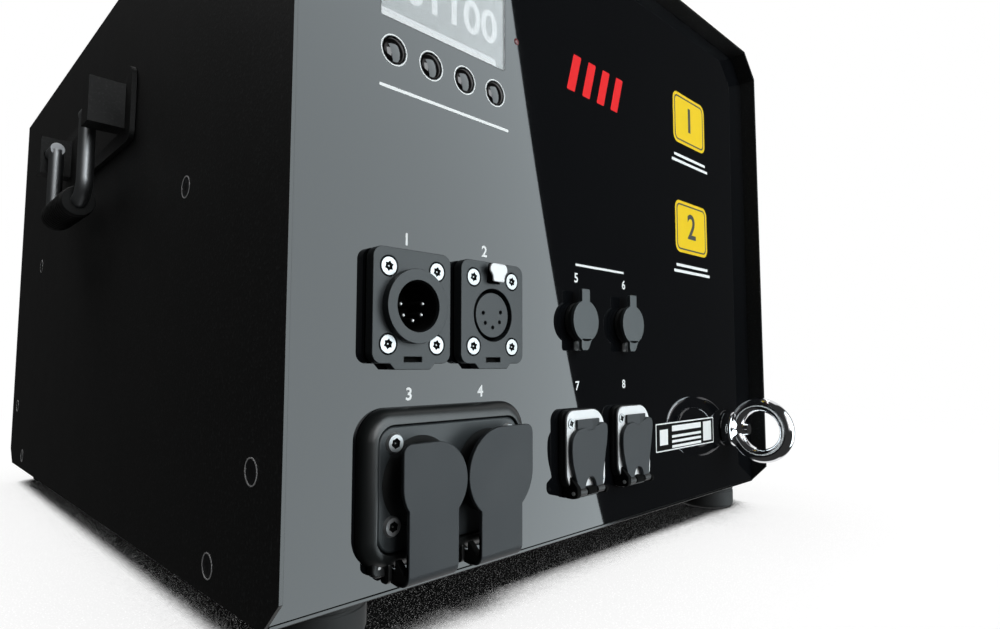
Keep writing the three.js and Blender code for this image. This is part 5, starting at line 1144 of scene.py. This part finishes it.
# Studio: white backdrop, a tall softbox to the right of the reader, and lamps in front, behind and overhead
def lamp(name, place, turn, width, height, radiance, tint):
    source = bpy.data.lights.new(name, "AREA")
    source.shape = "RECTANGLE"
    source.size, source.size_y = width, height
    source.energy = radiance * math.pi * width * height
    source.color = tint
    linked(name, source).matrix_world = Matrix.Translation(place) @ turn.to_4x4()


LEAN = math.radians(15.5)
BOX_WIDTH, BOX_HEIGHT = 1.5, 2.9
LAMPS_Y = -1.5 - MIDDLE * MM  # a metre and a half before the casing's front edge
along = Vector((math.cos(LEAN), math.sin(LEAN)))
centre = Vector((1.812, 0.476)) - along * BOX_WIDTH / 2
facing = Matrix(((along.x, -along.y, 0), (0, 0, -1), (along.y, along.x, 0)))
away = Vector((-1, -1, -0.5)).to_track_quat("-Z", "Y").to_matrix()
lamp("softbox", (centre.x, LAMPS_Y, centre.y), facing, BOX_WIDTH, BOX_HEIGHT, 4.4, (0.86, 0.96, 1.0))
lamp("front_fill", (-0.05, LAMPS_Y, 0.5), Matrix.Rotation(QUARTER, 3, "X"), 0.6, 0.8, 6.5, (0.95, 0.98, 1.0))
lamp("rim", (1.7, 1.7, 1.0), away, 1.2, 1.2, 2.0, (1.0, 1.0, 1.0))
lamp("overhead", (0.0, 0.75, 2.2), Matrix.Rotation(math.radians(-8), 3, "X"), 2.6, 1.8, 2.6, (1.0, 1.0, 1.0))

WHITE_LIGHT = (1, 1, 1, 1)


def mixed(tree, share, first, second):
    return add(tree, "ShaderNodeMixShader", {0: share, 1: first, 2: second})


def studio_world():
    # White to the camera; to mirrors a dark room, bright at the right and behind, and beyond the front left.
    world = bpy.data.worlds.new("studio")
    scene.world = world
    world.use_nodes = True
    tree = world.node_tree
    ray = add(tree, "ShaderNodeLightPath").outputs
    seen = maths(tree, "MAXIMUM", ray["Is Camera Ray"], ray["Is Transmission Ray"])
    white = add(tree, "ShaderNodeBackground", {"Color": WHITE_LIGHT, "Strength": 1.0})
    towards = add(tree, "ShaderNodeTexCoord").outputs["Generated"]
    sky = add(tree, "ShaderNodeSeparateXYZ", {"Vector": towards}).outputs
    rightward = eased(tree, sky["X"], -0.1, 0.25)
    backward = eased(tree, sky["Y"], -0.34, -0.2)
    behind = maths(tree, "MULTIPLY", rightward, backward)
    leftward = eased(tree, sky["X"], 0.1, -0.15)
    forward = eased(tree, sky["Y"], -0.62, -0.8)
    level = eased(tree, sky["Z"], -0.05, 0.1)
    before = maths(tree, "MULTIPLY", maths(tree, "MULTIPLY", leftward, forward), level)
    bright = maths(tree, "MAXIMUM", behind, before)
    mirrored = ranged(tree, bright, 0.0, 1.0, 0.035, 1.0)
    shade = add(tree, "ShaderNodeMix", {"Factor": ray["Is Glossy Ray"], 2: 0.09, 3: mirrored}, data_type="FLOAT")
    dim = add(tree, "ShaderNodeBackground", {"Color": WHITE_LIGHT, "Strength": shade})
    pick = mixed(tree, seen, dim, white)
    tree.links.new(pick.outputs[0], tree.nodes["World Output"].inputs["Surface"])


def backdrop_paper():
    # White paper that glows evenly, with a ragged, speckled contact shadow close to the machine.
    paper = bpy.data.materials.new("white_backdrop_paper")
    paper.use_nodes = True
    tree = paper.node_tree
    tree.nodes.clear()
    where = add(tree, "ShaderNodeTexCoord").outputs["Object"]
    ray = add(tree, "ShaderNodeLightPath").outputs
    tone = tinted(tree, noise(tree, where, 1.5, 4.0), "#f2f2f2", "#f7f7f7")
    matt = add(tree, "ShaderNodeBsdfDiffuse", {"Color": tone})
    near = add(tree, "ShaderNodeAmbientOcclusion", {"Distance": 0.09}, samples=12).outputs["AO"]
    rag = noise(tree, where, 2.5, 4.0, Roughness=0.7)
    ragged = maths(tree, "MULTIPLY_ADD", rag, 0.08, near)
    open_sky = eased(tree, ragged, 0.4, 0.47, 0.002, 0.9)
    wide = ranged(tree, near, 0.5, 1.0, 0.0, 0.1)
    flecks = ranged(tree, noise(tree, where, 0.55, 1.0), 0.64, 0.72, 0.0, 0.35)
    total = maths(tree, "ADD", maths(tree, "ADD", open_sky, wide), flecks)
    lit_paper = add(tree, "ShaderNodeEmission", {"Color": WHITE_LIGHT, "Strength": total})
    close_by = mixed(tree, 0.994, matt, lit_paper)
    glow = add(tree, "ShaderNodeEmission", {"Color": WHITE_LIGHT, "Strength": 1.0})
    reach = add(tree, "ShaderNodeVectorMath", {0: where}, operation="LENGTH").outputs["Value"]
    paper_seen = mixed(tree, eased(tree, reach, 0.4, 0.9), close_by, glow)
    dull = add(tree, "ShaderNodeBsdfDiffuse", {"Color": colour("#505050")})
    for_camera = mixed(tree, ray["Is Camera Ray"], dull, paper_seen)
    for_gloss = mixed(tree, ray["Is Glossy Ray"], for_camera, add(tree, "ShaderNodeBsdfTransparent"))
    add(tree, "ShaderNodeOutputMaterial", {"Surface": for_gloss})
    return paper


studio_world()
form = bmesh.new()
bmesh.ops.create_circle(form, cap_ends=True, radius=6.0, segments=96)
ground_mesh = bpy.data.meshes.new("floor")
form.to_mesh(ground_mesh)
form.free()
ground_mesh.materials.append(backdrop_paper())
ground = linked("floor", ground_mesh)
ground.location.z = -0.2 * MM

HEADING, PITCH = 44.87, 4.41
lens = bpy.data.cameras.new("camera")
lens.sensor_width = 36
lens.lens = 22.63
lens.clip_start = 0.005
camera = linked("camera", lens)
camera.location = (-0.22875, -0.35105, 0.0828)
camera.rotation_euler = (math.radians(90 + PITCH), 0, math.radians(HEADING - 90))
scene.camera = camera
scene.view_settings.view_transform = "Standard"
